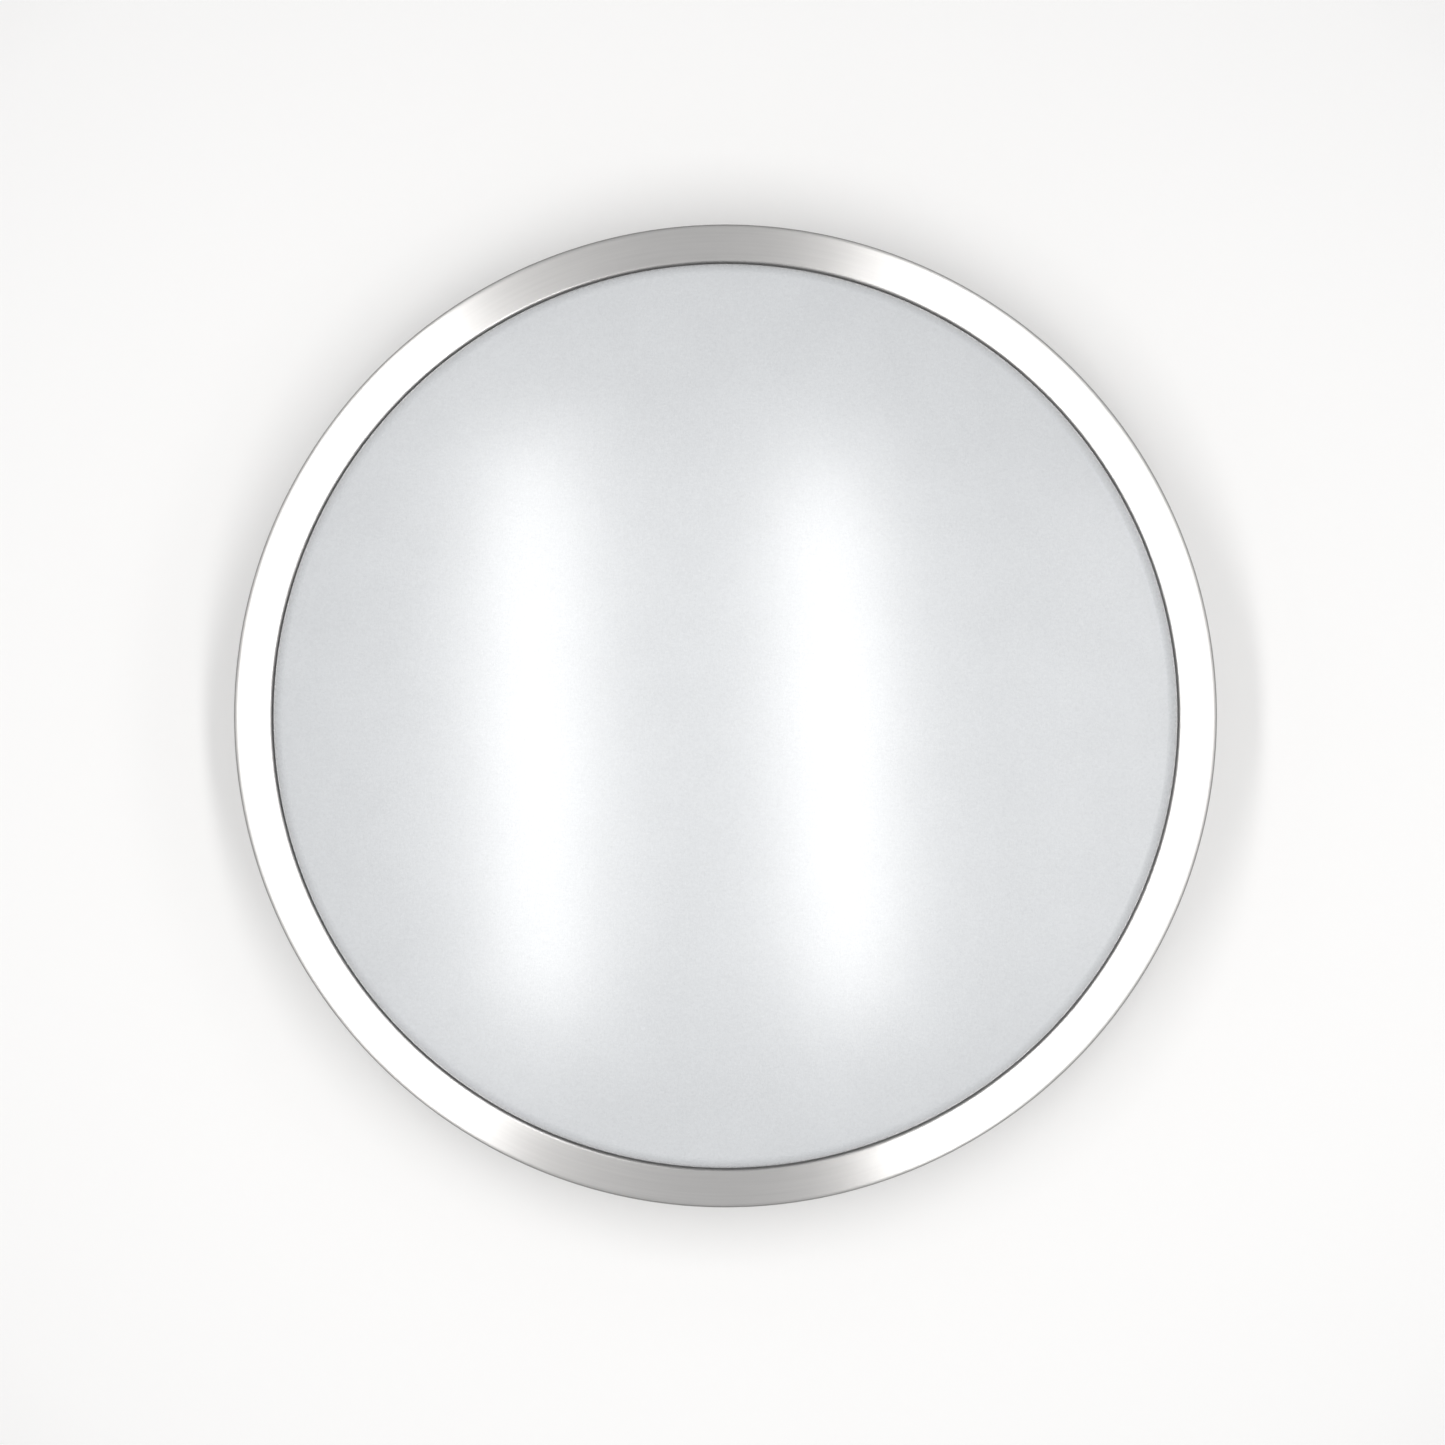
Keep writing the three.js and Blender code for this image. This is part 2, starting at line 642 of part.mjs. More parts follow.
function terminalBody() {
  const halfX = TERMINAL.x / 2;
  const ear = block(
    halfX - 1, TERMINAL_CENTRE_Y - 4.5, terminalBottom,
    halfX + 8, TERMINAL_CENTRE_Y + 4.5, terminalBottom + 2,
  );
  const bays = poleX.map((x) => block(
    x - TERMINAL_BAY / 2, LEVER_PIVOT_Y - 2.2, leverPivotZ - 1.9,
    x + TERMINAL_BAY / 2, terminalFar + 1, terminalTop + 1,
  ));
  const supply = poleX.map((x) => bar(1.9, x, terminalFar, entryZ, 20, 'y'));
  const load = poleX.map((x) => bar(WIRE_R + 0.6, x, terminalNear, entryZ, 12, 'y'));
  return cut(
    join(block(-halfX, terminalNear, terminalBottom, halfX, terminalFar, terminalTop), ear),
    ...bays,
    ...supply,
    ...load,
    bar(LEVER_PIN_R + GAP, 0, LEVER_PIVOT_Y, leverPivotZ, TERMINAL.x - 2.2, 'x'),
    bar(SCREW_HOLE_R, terminalScrewX, TERMINAL_CENTRE_Y, terminalBottom, 8),
  );
}

// The lever lies along +Y from its pivot, with a round heel, a raised tip to lift, and two pins.
function lever() {
  const half = LEVER_HEIGHT / 2;
  const outline = [
    ...arc(0, 0, half, 90, 270, 6),
    point(LEVER_LENGTH - 1.5, -half),
    point(LEVER_LENGTH, -half + 1),
    point(LEVER_LENGTH, half + 0.6),
    point(LEVER_LENGTH - 1.2, half + 0.6),
    point(LEVER_LENGTH - 2.4, half),
  ];
  const arm = extruded(outline, LEVER_WIDTH);
  arm.translate(0, 0, -LEVER_WIDTH / 2);
  arm.rotateX(Math.PI / 2);
  arm.rotateZ(Math.PI / 2);
  return join(arm, bar(LEVER_PIN_R, 0, 0, 0, LEVER_WIDTH + 1.6, 'x'));
}

add(housing, 'terminal_body', terminalBody(), materials.greyNylon);
LEVER_POLES.forEach((pole, i) => {
  const piece = add(housing, `terminal_lever_${pole}`, lever(), materials.lever);
  piece.position.set(poleX[i], LEVER_PIVOT_Y, leverPivotZ);
});
const terminalScrew = add(housing, 'terminal_screw', screw(terminalBottom + 2), materials.zinc);
terminalScrew.position.set(terminalScrewX, TERMINAL_CENTRE_Y, GAP);

// ---------------------------------------------------------------- earth point

const lugTop = floorTop + GAP + 0.8;
const lugWireZ = floorTop + GAP + 1.8;
const lugBarrelEnd = GROUND_Y - 12;

function groundLug() {
  const eye = bar(4.2, GROUND_X, GROUND_Y, floorTop + GAP + 0.4, 0.8, 'z', 20);
  const neck = block(GROUND_X - 1.6, GROUND_Y - 7.5, floorTop + GAP, GROUND_X + 1.6, GROUND_Y - 3, lugTop);
  const barrel = bar(1.8, GROUND_X, (GROUND_Y - 7 + lugBarrelEnd) / 2, lugWireZ, 5, 'y');
  const hole = bar(SCREW_HOLE_R, GROUND_X, GROUND_Y, floorTop, 6);
  return cut(join(eye, neck, barrel), hole);
}

add(housing, 'ground_lug', groundLug(), materials.zinc);
const groundScrew = add(housing, 'ground_screw', screw(lugTop), materials.greenScrew);
groundScrew.position.set(GROUND_X, GROUND_Y, GAP);

// ---------------------------------------------------------------- inner wires

const loadStart = terminalNear + 4;
const notchZ = driverSplit + GAP + 1.8;
const boardLanding = driverBoardTop + GAP + WIRE_R;
const lineY = DRIVER_NOTCH_Y - 1.8;
const neutralY = DRIVER_NOTCH_Y + 1.8;
const floorWireZ = floorTop + WIRE_R + 0.4;

// The line wire takes the inner way round the keyhole and the neutral wire runs outside it.
add(housing, 'line_wire', wireAlong([
  [poleX[0], loadStart, entryZ],
  [poleX[0], terminalNear - 2, entryZ],
  [-9.5, -56, 3.6],
  [-25, -55, floorWireZ],
  [-44, -43, floorWireZ],
  [-57, -21, floorWireZ],
  [-60, 0, floorWireZ],
  [-57, 16, 6],
  [-51, lineY - 1, notchZ - 0.5],
  [driverLeft - 3, lineY, notchZ],
  [driverLeft + 3, lineY, notchZ],
  [driverLeft + 7, lineY, boardLanding],
]), materials.blackWire);

add(housing, 'neutral_wire', wireAlong([
  [poleX[1], loadStart, entryZ],
  [poleX[1], terminalNear - 3, entryZ],
  [-6, -60, 3.4],
  [-27, -59.5, floorWireZ],
  [-48, -46.5, floorWireZ],
  [-61.5, -22, floorWireZ],
  [-64.5, 2, floorWireZ],
  [-60.5, 20, 6],
  [-53, neutralY - 0.5, notchZ - 0.5],
  [driverLeft - 3, neutralY, notchZ],
  [driverLeft + 3, neutralY, notchZ],
  [driverLeft + 7, neutralY, boardLanding],
]), materials.whiteWire);

add(housing, 'ground_wire', wireAlong([
  [poleX[2], loadStart, entryZ],
  [poleX[2], terminalNear - 3, entryZ],
  [10, -59.5, 3.4],
  [22, -63, floorWireZ],
  [32, -61.5, floorWireZ],
  [GROUND_X, lugBarrelEnd - 3.5, lugWireZ],
  [GROUND_X, lugBarrelEnd - GAP, lugWireZ],
]), materials.greenWire);

// A point given in the socket's own directions: outwards from the sign's axis, and across.
function atSocket(radius, across) {
  const angle = SOCKET_ANGLE * DEG;
  return [
    radius * Math.cos(angle) - across * Math.sin(angle),
    radius * Math.sin(angle) + across * Math.cos(angle),
    socketWireZ,
  ];
}

const socketMouth = SOCKET_R - SOCKET.x / 2;
for (const [name, side, material] of [
  ['led_wire_plus', 1, materials.redWire],
  ['led_wire_minus', -1, materials.blackWire],
]) {
  const y = DRIVER_NOTCH_Y + side * 1.8;
  add(housing, name, wireAlong([
    [driverRight - 7, y, boardLanding],
    [driverRight - 3, y, notchZ],
    [driverRight + 3, y, notchZ],
    [driverRight + 12, y - 1.2, notchZ - 1.2],
    [driverRight + 24, y - 5, notchZ - 2.4],
    atSocket(socketMouth - 6, side * ledWireSpread),
    atSocket(socketMouth + 2, side * ledWireSpread),
  ]), material);
}

export default sign;
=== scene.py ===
"""A round lighted sign: a blank opal dome in a brushed nickel ring, over a white pan.

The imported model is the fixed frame. Every piece is in metres in that frame: +Z out of the lit face,
z = 0 on the flat back. Pieces with a skin of their own are worked out here as numpy surfaces, and the
small moulded and pressed parts keep their solids and get eased edges.
"""

import json
import logging
import math
from dataclasses import dataclass, field
from enum import Enum
from typing import Callable, Optional, Sequence

import bpy
import numpy as np
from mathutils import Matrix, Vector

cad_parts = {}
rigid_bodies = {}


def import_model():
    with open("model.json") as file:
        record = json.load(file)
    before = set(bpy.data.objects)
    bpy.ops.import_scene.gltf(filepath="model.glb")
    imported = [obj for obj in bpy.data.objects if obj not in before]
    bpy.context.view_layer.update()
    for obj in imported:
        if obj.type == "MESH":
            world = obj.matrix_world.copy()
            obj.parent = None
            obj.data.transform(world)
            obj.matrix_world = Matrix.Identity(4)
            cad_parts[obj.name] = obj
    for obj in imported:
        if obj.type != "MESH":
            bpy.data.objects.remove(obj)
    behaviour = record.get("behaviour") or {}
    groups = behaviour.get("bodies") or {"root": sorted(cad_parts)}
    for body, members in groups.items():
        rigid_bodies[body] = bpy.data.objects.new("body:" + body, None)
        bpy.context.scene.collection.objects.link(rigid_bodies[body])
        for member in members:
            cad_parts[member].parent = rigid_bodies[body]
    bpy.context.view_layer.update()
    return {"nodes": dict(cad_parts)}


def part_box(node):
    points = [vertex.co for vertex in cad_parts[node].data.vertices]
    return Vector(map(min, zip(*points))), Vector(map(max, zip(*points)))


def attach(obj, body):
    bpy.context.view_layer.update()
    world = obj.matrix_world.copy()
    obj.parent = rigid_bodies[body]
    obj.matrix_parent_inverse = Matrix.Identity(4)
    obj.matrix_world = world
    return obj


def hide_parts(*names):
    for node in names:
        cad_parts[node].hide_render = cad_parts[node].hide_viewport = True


LOG = logging.getLogger("sign")
MM = 0.001
TURN = 2 * math.pi
SAME_PLACE = 1e-8

# Angles in degrees, then sizes that several screws share, in metres.
SHARP_ANGLE = 35.0
SOFT_ANGLE = 60.0
ROUNDED_ANGLE = 28.0
SCREW_HEAD = 3.0 * MM
SCREW_SHANK = 1.4 * MM
WASHER = 0.3 * MM

Colour = tuple[float, float, float]
Vertices = np.ndarray
Profile = np.ndarray
DUST_COLOUR: Colour = (0.72, 0.7, 0.66)


# ------------------------------------------------------------------ surfaces worked out with numpy

def arc(centre: Sequence[float], radius: float, start: float, stop: float, steps: int) -> Profile:
    """Points on a circle: centre plus radius times (cosine, sine) of evenly spaced angles.

    Args:
        centre: The circle's middle, as (radius from the axis, height).
        radius: The circle's own radius.
        start: First angle in degrees.
        stop: Last angle in degrees.
        steps: Number of stretches between them.

    Returns:
        An array of steps + 1 rows of (radius, height).
    """
    angles = np.radians(np.linspace(start, stop, steps + 1))
    return np.column_stack((centre[0] + radius * np.cos(angles), centre[1] + radius * np.sin(angles)))


def outline(*parts: Sequence) -> Profile:
    """Strings single points and runs of points together into one profile."""
    return np.vstack([np.atleast_2d(np.asarray(part, dtype=float)) for part in parts])


def sheet_outline(middle: Profile, thickness: float) -> Profile:
    """Both faces of a bent sheet, from the line along its middle.

    Each point moves half the thickness to both sides, along the mitre of its two stretches, divided by
    the cosine of half the bend so that the sheet keeps its thickness round corners.

    Args:
        middle: The sheet's middle line.
        thickness: The sheet's thickness.

    Returns:
        A closed outline, one face forwards and the other back.
    """
    run = np.diff(middle, axis=0)
    run /= np.linalg.norm(run, axis=1)[:, None]
    arriving = np.vstack((run[:1], run))
    leaving = np.vstack((run, run[-1:]))
    along = arriving + leaving
    along /= np.linalg.norm(along, axis=1)[:, None]
    across = np.column_stack((-along[:, 1], along[:, 0]))
    across /= np.sum(along * leaving, axis=1)[:, None]
    on_axis = middle[:, 0] == 0
    across[on_axis] = (0, 1)
    offset = across * thickness / 2
    return np.vstack((middle + offset, (middle - offset)[::-1]))


def grid_faces(rows: int, columns: int, close_rows: bool, close_columns: bool) -> np.ndarray:
    """Quads of a grid of rows by columns, joined round where an end is closed.

    Args:
        rows: Number of rows of points.
        columns: Number of points in a row.
        close_rows: Whether the last row meets the first.
        close_columns: Whether each row's last point meets its first.

    Returns:
        An integer array with four corners a line.
    """
    first = np.arange(rows if close_rows else rows - 1)
    across = np.arange(columns if close_columns else columns - 1)
    row, column = np.meshgrid(first, across, indexing="ij")
    next_row = (row + 1) % rows
    next_column = (column + 1) % columns
    corners = (
        row * columns + column,
        row * columns + next_column,
        next_row * columns + next_column,
        next_row * columns + column,
    )
    return np.stack([corner.ravel() for corner in corners], axis=1)


@dataclass
class Skin:
    """A mesh on its way: its points, its quads, its triangles and an edge value at each point, which drives
    real edge wear on the enamel and painted shade along the ring's outer rim.
    """

    points: Vertices
    quads: np.ndarray = field(default_factory=lambda: np.zeros((0, 4), int))
    triangles: np.ndarray = field(default_factory=lambda: np.zeros((0, 3), int))
    edge: Optional[np.ndarray] = None

    def moved(self, offset: Sequence[float]) -> "Skin":
        """The same skin, shifted."""
        return Skin(self.points + np.asarray(offset), self.quads, self.triangles, self.edge)

    def mapped(self, change: Callable[[Vertices], Vertices]) -> "Skin":
        """The same skin with its points put through a function."""
        return Skin(change(self.points), self.quads, self.triangles, self.edge)

    def turned(self, degrees: float) -> "Skin":
        """The same skin, turned about the sign's axis.

        Args:
            degrees: The angle, anticlockwise as seen from above.

        Returns:
            The turned skin.
        """
        angle = math.radians(degrees)
        turn = np.array([
            [math.cos(angle), -math.sin(angle), 0],
            [math.sin(angle), math.cos(angle), 0],
            [0, 0, 1],
        ])
        return self.mapped(lambda points: points @ turn.T)

    def volume(self) -> float:
        """Six times the enclosed volume: the sum of each triangle's corner triple products.

        Returns:
            A number above zero where the faces point out.
        """
        faces = np.vstack((self.quads[:, [0, 1, 2]], self.quads[:, [0, 2, 3]], self.triangles))
        a, b, c = (self.points[faces[:, i]] for i in range(3))
        return float(np.einsum("ij,ij->i", a, np.cross(b, c)).sum())

    def outwards(self) -> "Skin":
        """The same skin with its faces pointing out.

        Returns:
            This skin, or a copy with every face the other way round.
        """
        if self.volume() >= 0:
            return self
        return Skin(self.points, self.quads[:, ::-1], self.triangles[:, ::-1], self.edge)


def joined(skins: Sequence[Skin]) -> Skin:
    """Several skins as one mesh of separate shells.

    Args:
        skins: The skins, one or more.

    Returns:
        One skin that holds them all.
    """
    starts = np.cumsum([0] + [len(skin.points) for skin in skins[:-1]])
    edges = [np.zeros(len(skin.points)) if skin.edge is None else skin.edge for skin in skins]
    return Skin(
        np.vstack([skin.points for skin in skins]),
        np.vstack([skin.quads + start for skin, start in zip(skins, starts)]),
        np.vstack([skin.triangles + start for skin, start in zip(skins, starts)]),
        np.concatenate(edges),
    )


def closed_grid(
    points: Vertices,
    columns: int,
    ends: Sequence[Sequence[float]],
    edge: Optional[np.ndarray] = None,
) -> Skin:
    """A skin of rows of points, each row closed round, with a fan of triangles over both end rows.

    Args:
        points: The points, row after row.
        columns: Number of points in a row.
        ends: The middle of the first row's fan and of the last row's.
        edge: The edge value of every point, the two ends included.

    Returns:
        A closed skin.
    """
    rows = len(points) // columns
    ring = np.arange(columns)
    ahead = (ring + 1) % columns
    last = (rows - 1) * columns
    triangles = np.vstack((
        np.column_stack((np.full(columns, len(points)), ahead, ring)),
        np.column_stack((np.full(columns, len(points) + 1), last + ring, last + ahead)),
    ))
    return Skin(np.vstack((points, ends)), grid_faces(rows, columns, False, True), triangles, edge).outwards()


def profile_bend(profile: Profile, closed: bool) -> np.ndarray:
    """How sharply a profile turns at each point: the turning angle over the length beside it, from 0 to 1.

    Args:
        profile: Rows of (radius, height).
        closed: Whether the last point meets the first.

    Returns:
        A value for each point.
    """
    before = profile - np.roll(profile, 1, axis=0)
    after = np.roll(profile, -1, axis=0) - profile
    if not closed:
        before[0], after[-1] = after[0], before[-1]
    cross = before[:, 0] * after[:, 1] - before[:, 1] * after[:, 0]
    dot = np.sum(before * after, axis=1)
    angle = np.abs(np.arctan2(cross, dot))
    length = np.linalg.norm(before, axis=1) + np.linalg.norm(after, axis=1)
    return np.clip(angle / np.maximum(length, 1e-9) * 0.6 * MM, 0, 1)


def revolved(profile: Profile, steps: int = 192) -> Skin:
    """A profile turned about the sign's axis.

    The point at angle a is (radius cos a, radius sin a, height). A profile that starts and ends on the
    axis closes at two poles; any other profile closes on itself.

    Args:
        profile: Rows of (radius, height).
        steps: Number of stretches round the axis.

    Returns:
        A closed skin.
    """
    poled = profile[0, 0] == 0 and profile[-1, 0] == 0
    body = profile[1:-1] if poled else profile
    angles = np.linspace(0, TURN, steps, endpoint=False)
    radius, angle = np.meshgrid(body[:, 0], angles, indexing="ij")
    height = np.repeat(body[:, 1][:, None], steps, axis=1)
    points = np.stack((radius * np.cos(angle), radius * np.sin(angle), height), axis=2).reshape(-1, 3)
    edge = np.repeat(profile_bend(profile, not poled)[1:-1] if poled else profile_bend(profile, True), steps)
    if not poled:
        return Skin(points, grid_faces(len(body), steps, True, True), edge=edge).outwards()
    poles = np.array([[0, 0, profile[0, 1]], [0, 0, profile[-1, 1]]])
    return closed_grid(points, steps, poles, np.append(edge, (0, 0)))


def rounded_block(size: Sequence[float], centre: Sequence[float], radius: float, steps: int = 3) -> Skin:
    """A block with rounded edges: a ball pulled apart to the block's size.

    For a direction d on the unit ball, the point is radius times d, plus half the block less the radius
    with the signs of d. Each octant of the ball stays a rounded corner.

    Args:
        size: Width, depth and height.
        centre: The block's middle.
        radius: Radius of its edges.
        steps: Stretches in a quarter turn.

    Returns:
        A closed skin.
    """
    quarter = np.linspace(0, math.pi / 2, steps + 1)
    around = np.concatenate([quarter + i * math.pi / 2 for i in range(4)])
    sign_x = np.repeat([1, -1, -1, 1], steps + 1)
    sign_y = np.repeat([1, 1, -1, -1], steps + 1)
    up = np.concatenate((quarter - math.pi / 2, quarter))
    sign_z = np.repeat([-1, 1], steps + 1)
    latitude, longitude = np.meshgrid(up, around, indexing="ij")
    ball = np.stack((
        np.cos(latitude) * np.cos(longitude),
        np.cos(latitude) * np.sin(longitude),
        np.sin(latitude),
    ), axis=2)
    signs = np.stack((
        np.broadcast_to(sign_x, latitude.shape),
        np.broadcast_to(sign_y, latitude.shape),
        np.broadcast_to(sign_z[:, None], latitude.shape),
    ), axis=2)
    inset = np.asarray(size) / 2 - radius
    points = (ball * radius + signs * inset + np.asarray(centre)).reshape(-1, 3)
    columns = len(around)
    return closed_grid(points, columns, [points[:columns].mean(axis=0), points[-columns:].mean(axis=0)])


def smooth_path(points: Sequence[Sequence[float]], steps: int) -> Vertices:
    """A smooth curve through points: a cubic between each pair, with slopes from the points either side.

    Args:
        points: The points that it goes through.
        steps: Number of stretches along it.

    Returns:
        An array of steps + 1 points.
    """
    given = np.asarray(points, dtype=float)
    length = np.concatenate(([0], np.cumsum(np.linalg.norm(np.diff(given, axis=0), axis=1))))
    slope = np.gradient(given, length, axis=0)
    at = np.linspace(0, length[-1], steps + 1)
    span = np.clip(np.searchsorted(length, at, side="right") - 1, 0, len(given) - 2)
    width = (length[span + 1] - length[span])[:, None]
    t = (at - length[span])[:, None] / width
    return (
        (2 * t**3 - 3 * t**2 + 1) * given[span]
        + (t**3 - 2 * t**2 + t) * width * slope[span]
        + (3 * t**2 - 2 * t**3) * given[span + 1]
        + (t**3 - t**2) * width * slope[span + 1]
    )


def swept(path: Vertices, radii: np.ndarray, sides: int = 16) -> Skin:
    """A round bar along a path: the point is the path plus radius times (cos a side + sin a up).

    The side vector is level wherever the path isn't upright, so the bar doesn't twist.

    Args:
        path: Points along the middle.
        radii: The bar's radius at each of them; a radius of 0 at the ends closes it.
        sides: Number of points round it.

    Returns:
        A closed skin.
    """
    along = np.gradient(path, axis=0)
    along /= np.linalg.norm(along, axis=1)[:, None]
    side = np.cross(along, (0.0, 0.0, 1.0))
    level = np.linalg.norm(side, axis=1)
    side[level < 0.05] = (1.0, 0.0, 0.0)
    side /= np.linalg.norm(side, axis=1)[:, None]
    up = np.cross(side, along)
    angles = np.linspace(0, TURN, sides, endpoint=False)
    spokes = (
        np.cos(angles)[None, :, None] * side[:, None, :] + np.sin(angles)[None, :, None] * up[:, None, :]
    )
    points = (path[:, None, :] + spokes * radii[:, None, None]).reshape(-1, 3)
    return closed_grid(points, sides, [path[0], path[-1]])


def make_object(name: str, skin: Skin, smooth_angle: float = SHARP_ANGLE) -> bpy.types.Object:
    """Puts a skin into a Blender object at the origin.

    Points in the same place become one, and faces that lose their area that way are left out.

    Args:
        name: The piece's name.
        skin: Its points and faces.
        smooth_angle: Edges that bend more than this, in degrees, stay sharp.

    Returns:
        The object, linked to the scene.
    """
    mesh = bpy.data.meshes.new(name)
    places = np.round(skin.points / SAME_PLACE).astype(np.int64)
    _, kept, merged = np.unique(places, axis=0, return_index=True, return_inverse=True)
    merged = merged.reshape(-1)
    corners = merged[skin.quads].tolist() + merged[skin.triangles].tolist()
    faces = [face for face in (list(dict.fromkeys(corner)) for corner in corners) if len(face) > 2]
    mesh.from_pydata(skin.points[kept].tolist(), [], faces)
    # The edge attribute drives real edge wear on the enamel and painted shade along the ring's outer rim.
    if skin.edge is not None:
        wear = mesh.attributes.new("edge", "FLOAT", "POINT")
        wear.data.foreach_set("value", skin.edge[kept].astype(np.float32))
    mesh.update()
    piece = bpy.data.objects.new(name, mesh)
    bpy.context.scene.collection.objects.link(piece)
    smooth_by_angle(mesh, smooth_angle)
    return piece


def smooth_by_angle(mesh: bpy.types.Mesh, degrees: float) -> None:
    """Shades a mesh smooth and marks the edges that bend more than an angle as sharp."""
    mesh.shade_smooth()
    mesh.set_sharp_from_angle(angle=math.radians(degrees))


# ------------------------------------------------------------------ shader building

Socket = bpy.types.NodeSocket
Fed = "Socket | float | tuple"


class Tree:
    """Short ways to add and join the nodes of one material or group."""

    def __init__(self, tree: bpy.types.NodeTree) -> None:
        """Holds the node tree that the methods add to."""
        self.tree = tree

    @property
    def shader(self) -> bpy.types.Node:
        """The material's own Principled BSDF."""
        return self.tree.nodes["Principled BSDF"]

    def node(self, kind: str, **settings: object) -> bpy.types.Node:
        """Adds a node of a kind and sets its properties.

        Args:
            kind: The node's type, without the word ShaderNode.
            **settings: Its properties by name.

        Returns:
            The new node.
        """
        made = self.tree.nodes.new(f"ShaderNode{kind}")
        for name, value in settings.items():
            setattr(made, name, value)
        return made

    def feed(self, socket: Socket, value: Fed) -> None:
        """Links a socket's source to it, or sets its plain value.

        Args:
            socket: The input to feed.
            value: An output to link from, or a plain value.
        """
        if isinstance(value, bpy.types.NodeSocket):
            self.tree.links.new(value, socket)
        else:
            socket.default_value = value

    def maths(self, operation: str, first: Fed, second: Fed = 0.0, third: Fed = 0.0) -> Socket:
        """Adds a Math node and returns its result.

        Args:
            operation: The operation's name.
            first: The first value.
            second: The second value, where it takes one.
            third: The third value, where it takes one.

        Returns:
            The result.
        """
        made = self.node("Math", operation=operation)
        for socket, value in zip(made.inputs, (first, second, third)):
            self.feed(socket, value)
        return made.outputs[0]

    def spread(self, value: Fed, low: float, high: float, new_low: float, new_high: float) -> Socket:
        """Maps a value from one range to another, and holds it inside the new one.

        Args:
            value: The value to map.
            low: Where the old range starts.
            high: Where the old range ends.
            new_low: Where the new range starts.
            new_high: Where the new range ends.

        Returns:
            The mapped value.
        """
        made = self.node("MapRange", clamp=True)
        for socket, given in zip(made.inputs, (value, low, high, new_low, new_high)):
            self.feed(socket, given)
        return made.outputs[0]

    def mixed(self, share: Fed, first: Fed, second: Fed) -> Socket:
        """Mixes two colours and returns the result.

        Args:
            share: How much of the second, from 0 to 1.
            first: A colour.
            second: Another colour.

        Returns:
            The mixed colour.
        """
        made = self.node("Mix", data_type="RGBA")
        self.feed(made.inputs["Factor"], share)
        for socket, value in ((made.inputs[6], first), (made.inputs[7], second)):
            self.feed(socket, (*value, 1.0) if isinstance(value, tuple) and len(value) == 3 else value)
        return made.outputs[2]

    def place(self) -> Socket:
        """The point on the piece, in metres."""
        return self.node("TexCoord").outputs["Object"]

    def vector(self, operation: str, first: Socket, second: Optional[Fed] = None) -> Socket:
        """Adds a Vector Math node; its second input is the scale where it scales.

        Args:
            operation: The operation's name.
            first: The first vector.
            second: The second vector or the scale, where it takes one.

        Returns:
            The result: a number for LENGTH, and a vector for the others.
        """
        made = self.node("VectorMath", operation=operation)
        self.feed(made.inputs[0], first)
        if second is not None:
            self.feed(made.inputs["Scale" if operation == "SCALE" else 1], second)
        return made.outputs["Value" if operation == "LENGTH" else "Vector"]

    def flattened(self) -> tuple[Socket, Socket]:
        """The point without its height, and the height.

        Returns:
            The point at height zero, and the height as a number.
        """
        parts = self.node("SeparateXYZ")
        self.feed(parts.inputs[0], self.place())
        level = self.node("CombineXYZ")
        self.feed(level.inputs["X"], parts.outputs["X"])
        self.feed(level.inputs["Y"], parts.outputs["Y"])
        return level.outputs[0], parts.outputs["Z"]

    def plain(self, values: dict[str, object]) -> None:
        """Sets values on the shader's own sockets."""
        for name, value in values.items():
            self.shader.inputs[name].default_value = value

    def noise(self, place: Socket, scale: Fed, detail: float = 3.0) -> Socket:
        """A noise value at a place.

        Args:
            place: Where the noise is read.
            scale: How fine it is, per metre.
            detail: How many finer layers it has.

        Returns:
            A number from 0 to 1.
        """
        made = self.node("TexNoise")
        self.feed(made.inputs["Vector"], place)
        self.feed(made.inputs["Scale"], scale)
        made.inputs["Detail"].default_value = detail
        return made.outputs["Fac"]

    def group(self, effect: "Effect", **values: Fed) -> dict[str, Socket]:
        """Places a shared effect with its own values and returns its outputs by name.

        Args:
            effect: The shared effect.
            **values: What its inputs get, by name.

        Returns:
            Its outputs by name.
        """
        made = self.node("Group")
        made.node_tree = effect.tree()
        for name, value in values.items():
            self.feed(made.inputs[name], value)
        return {socket.name: socket for socket in made.outputs}

    def bump(self, height: Socket, depth: float) -> None:
        """Feeds a height to the shader's normal, with its depth in metres.

        Args:
            height: The height, from 0 to 1.
            depth: How far that is, in metres.
        """
        made = self.node("Bump")
        made.inputs["Distance"].default_value = depth
        made.inputs["Strength"].default_value = 1.0
        self.feed(made.inputs["Height"], height)
        self.feed(self.shader.inputs["Normal"], made.outputs["Normal"])


class Effect(Enum):
    """Effects that several finishes share, each one a node group that is built once."""

    GRAIN = "Fine grain"
    BRUSHING = "Brushed round"
    WEAR = "Edge wear"
    DUST = "Settled dust"

    def tree(self) -> bpy.types.NodeTree:
        """The group's node tree, built at its first use.

        Returns:
            The node tree.
        """
        found = bpy.data.node_groups.get(self.value)
        if found:
            return found
        group = bpy.data.node_groups.new(self.value, "ShaderNodeTree")
        inputs, outputs = EFFECT_SOCKETS[self]
        for name, value in inputs.items():
            socket = group.interface.new_socket(name, in_out="INPUT", socket_type="NodeSocketFloat")
            socket.default_value = value
        for name in outputs:
            group.interface.new_socket(name, in_out="OUTPUT", socket_type="NodeSocketFloat")
        tree = Tree(group)
        entry = group.nodes.new("NodeGroupInput")
        leave = group.nodes.new("NodeGroupOutput")
        EFFECT_WIRING[self](tree, entry.outputs, leave.inputs)
        return group


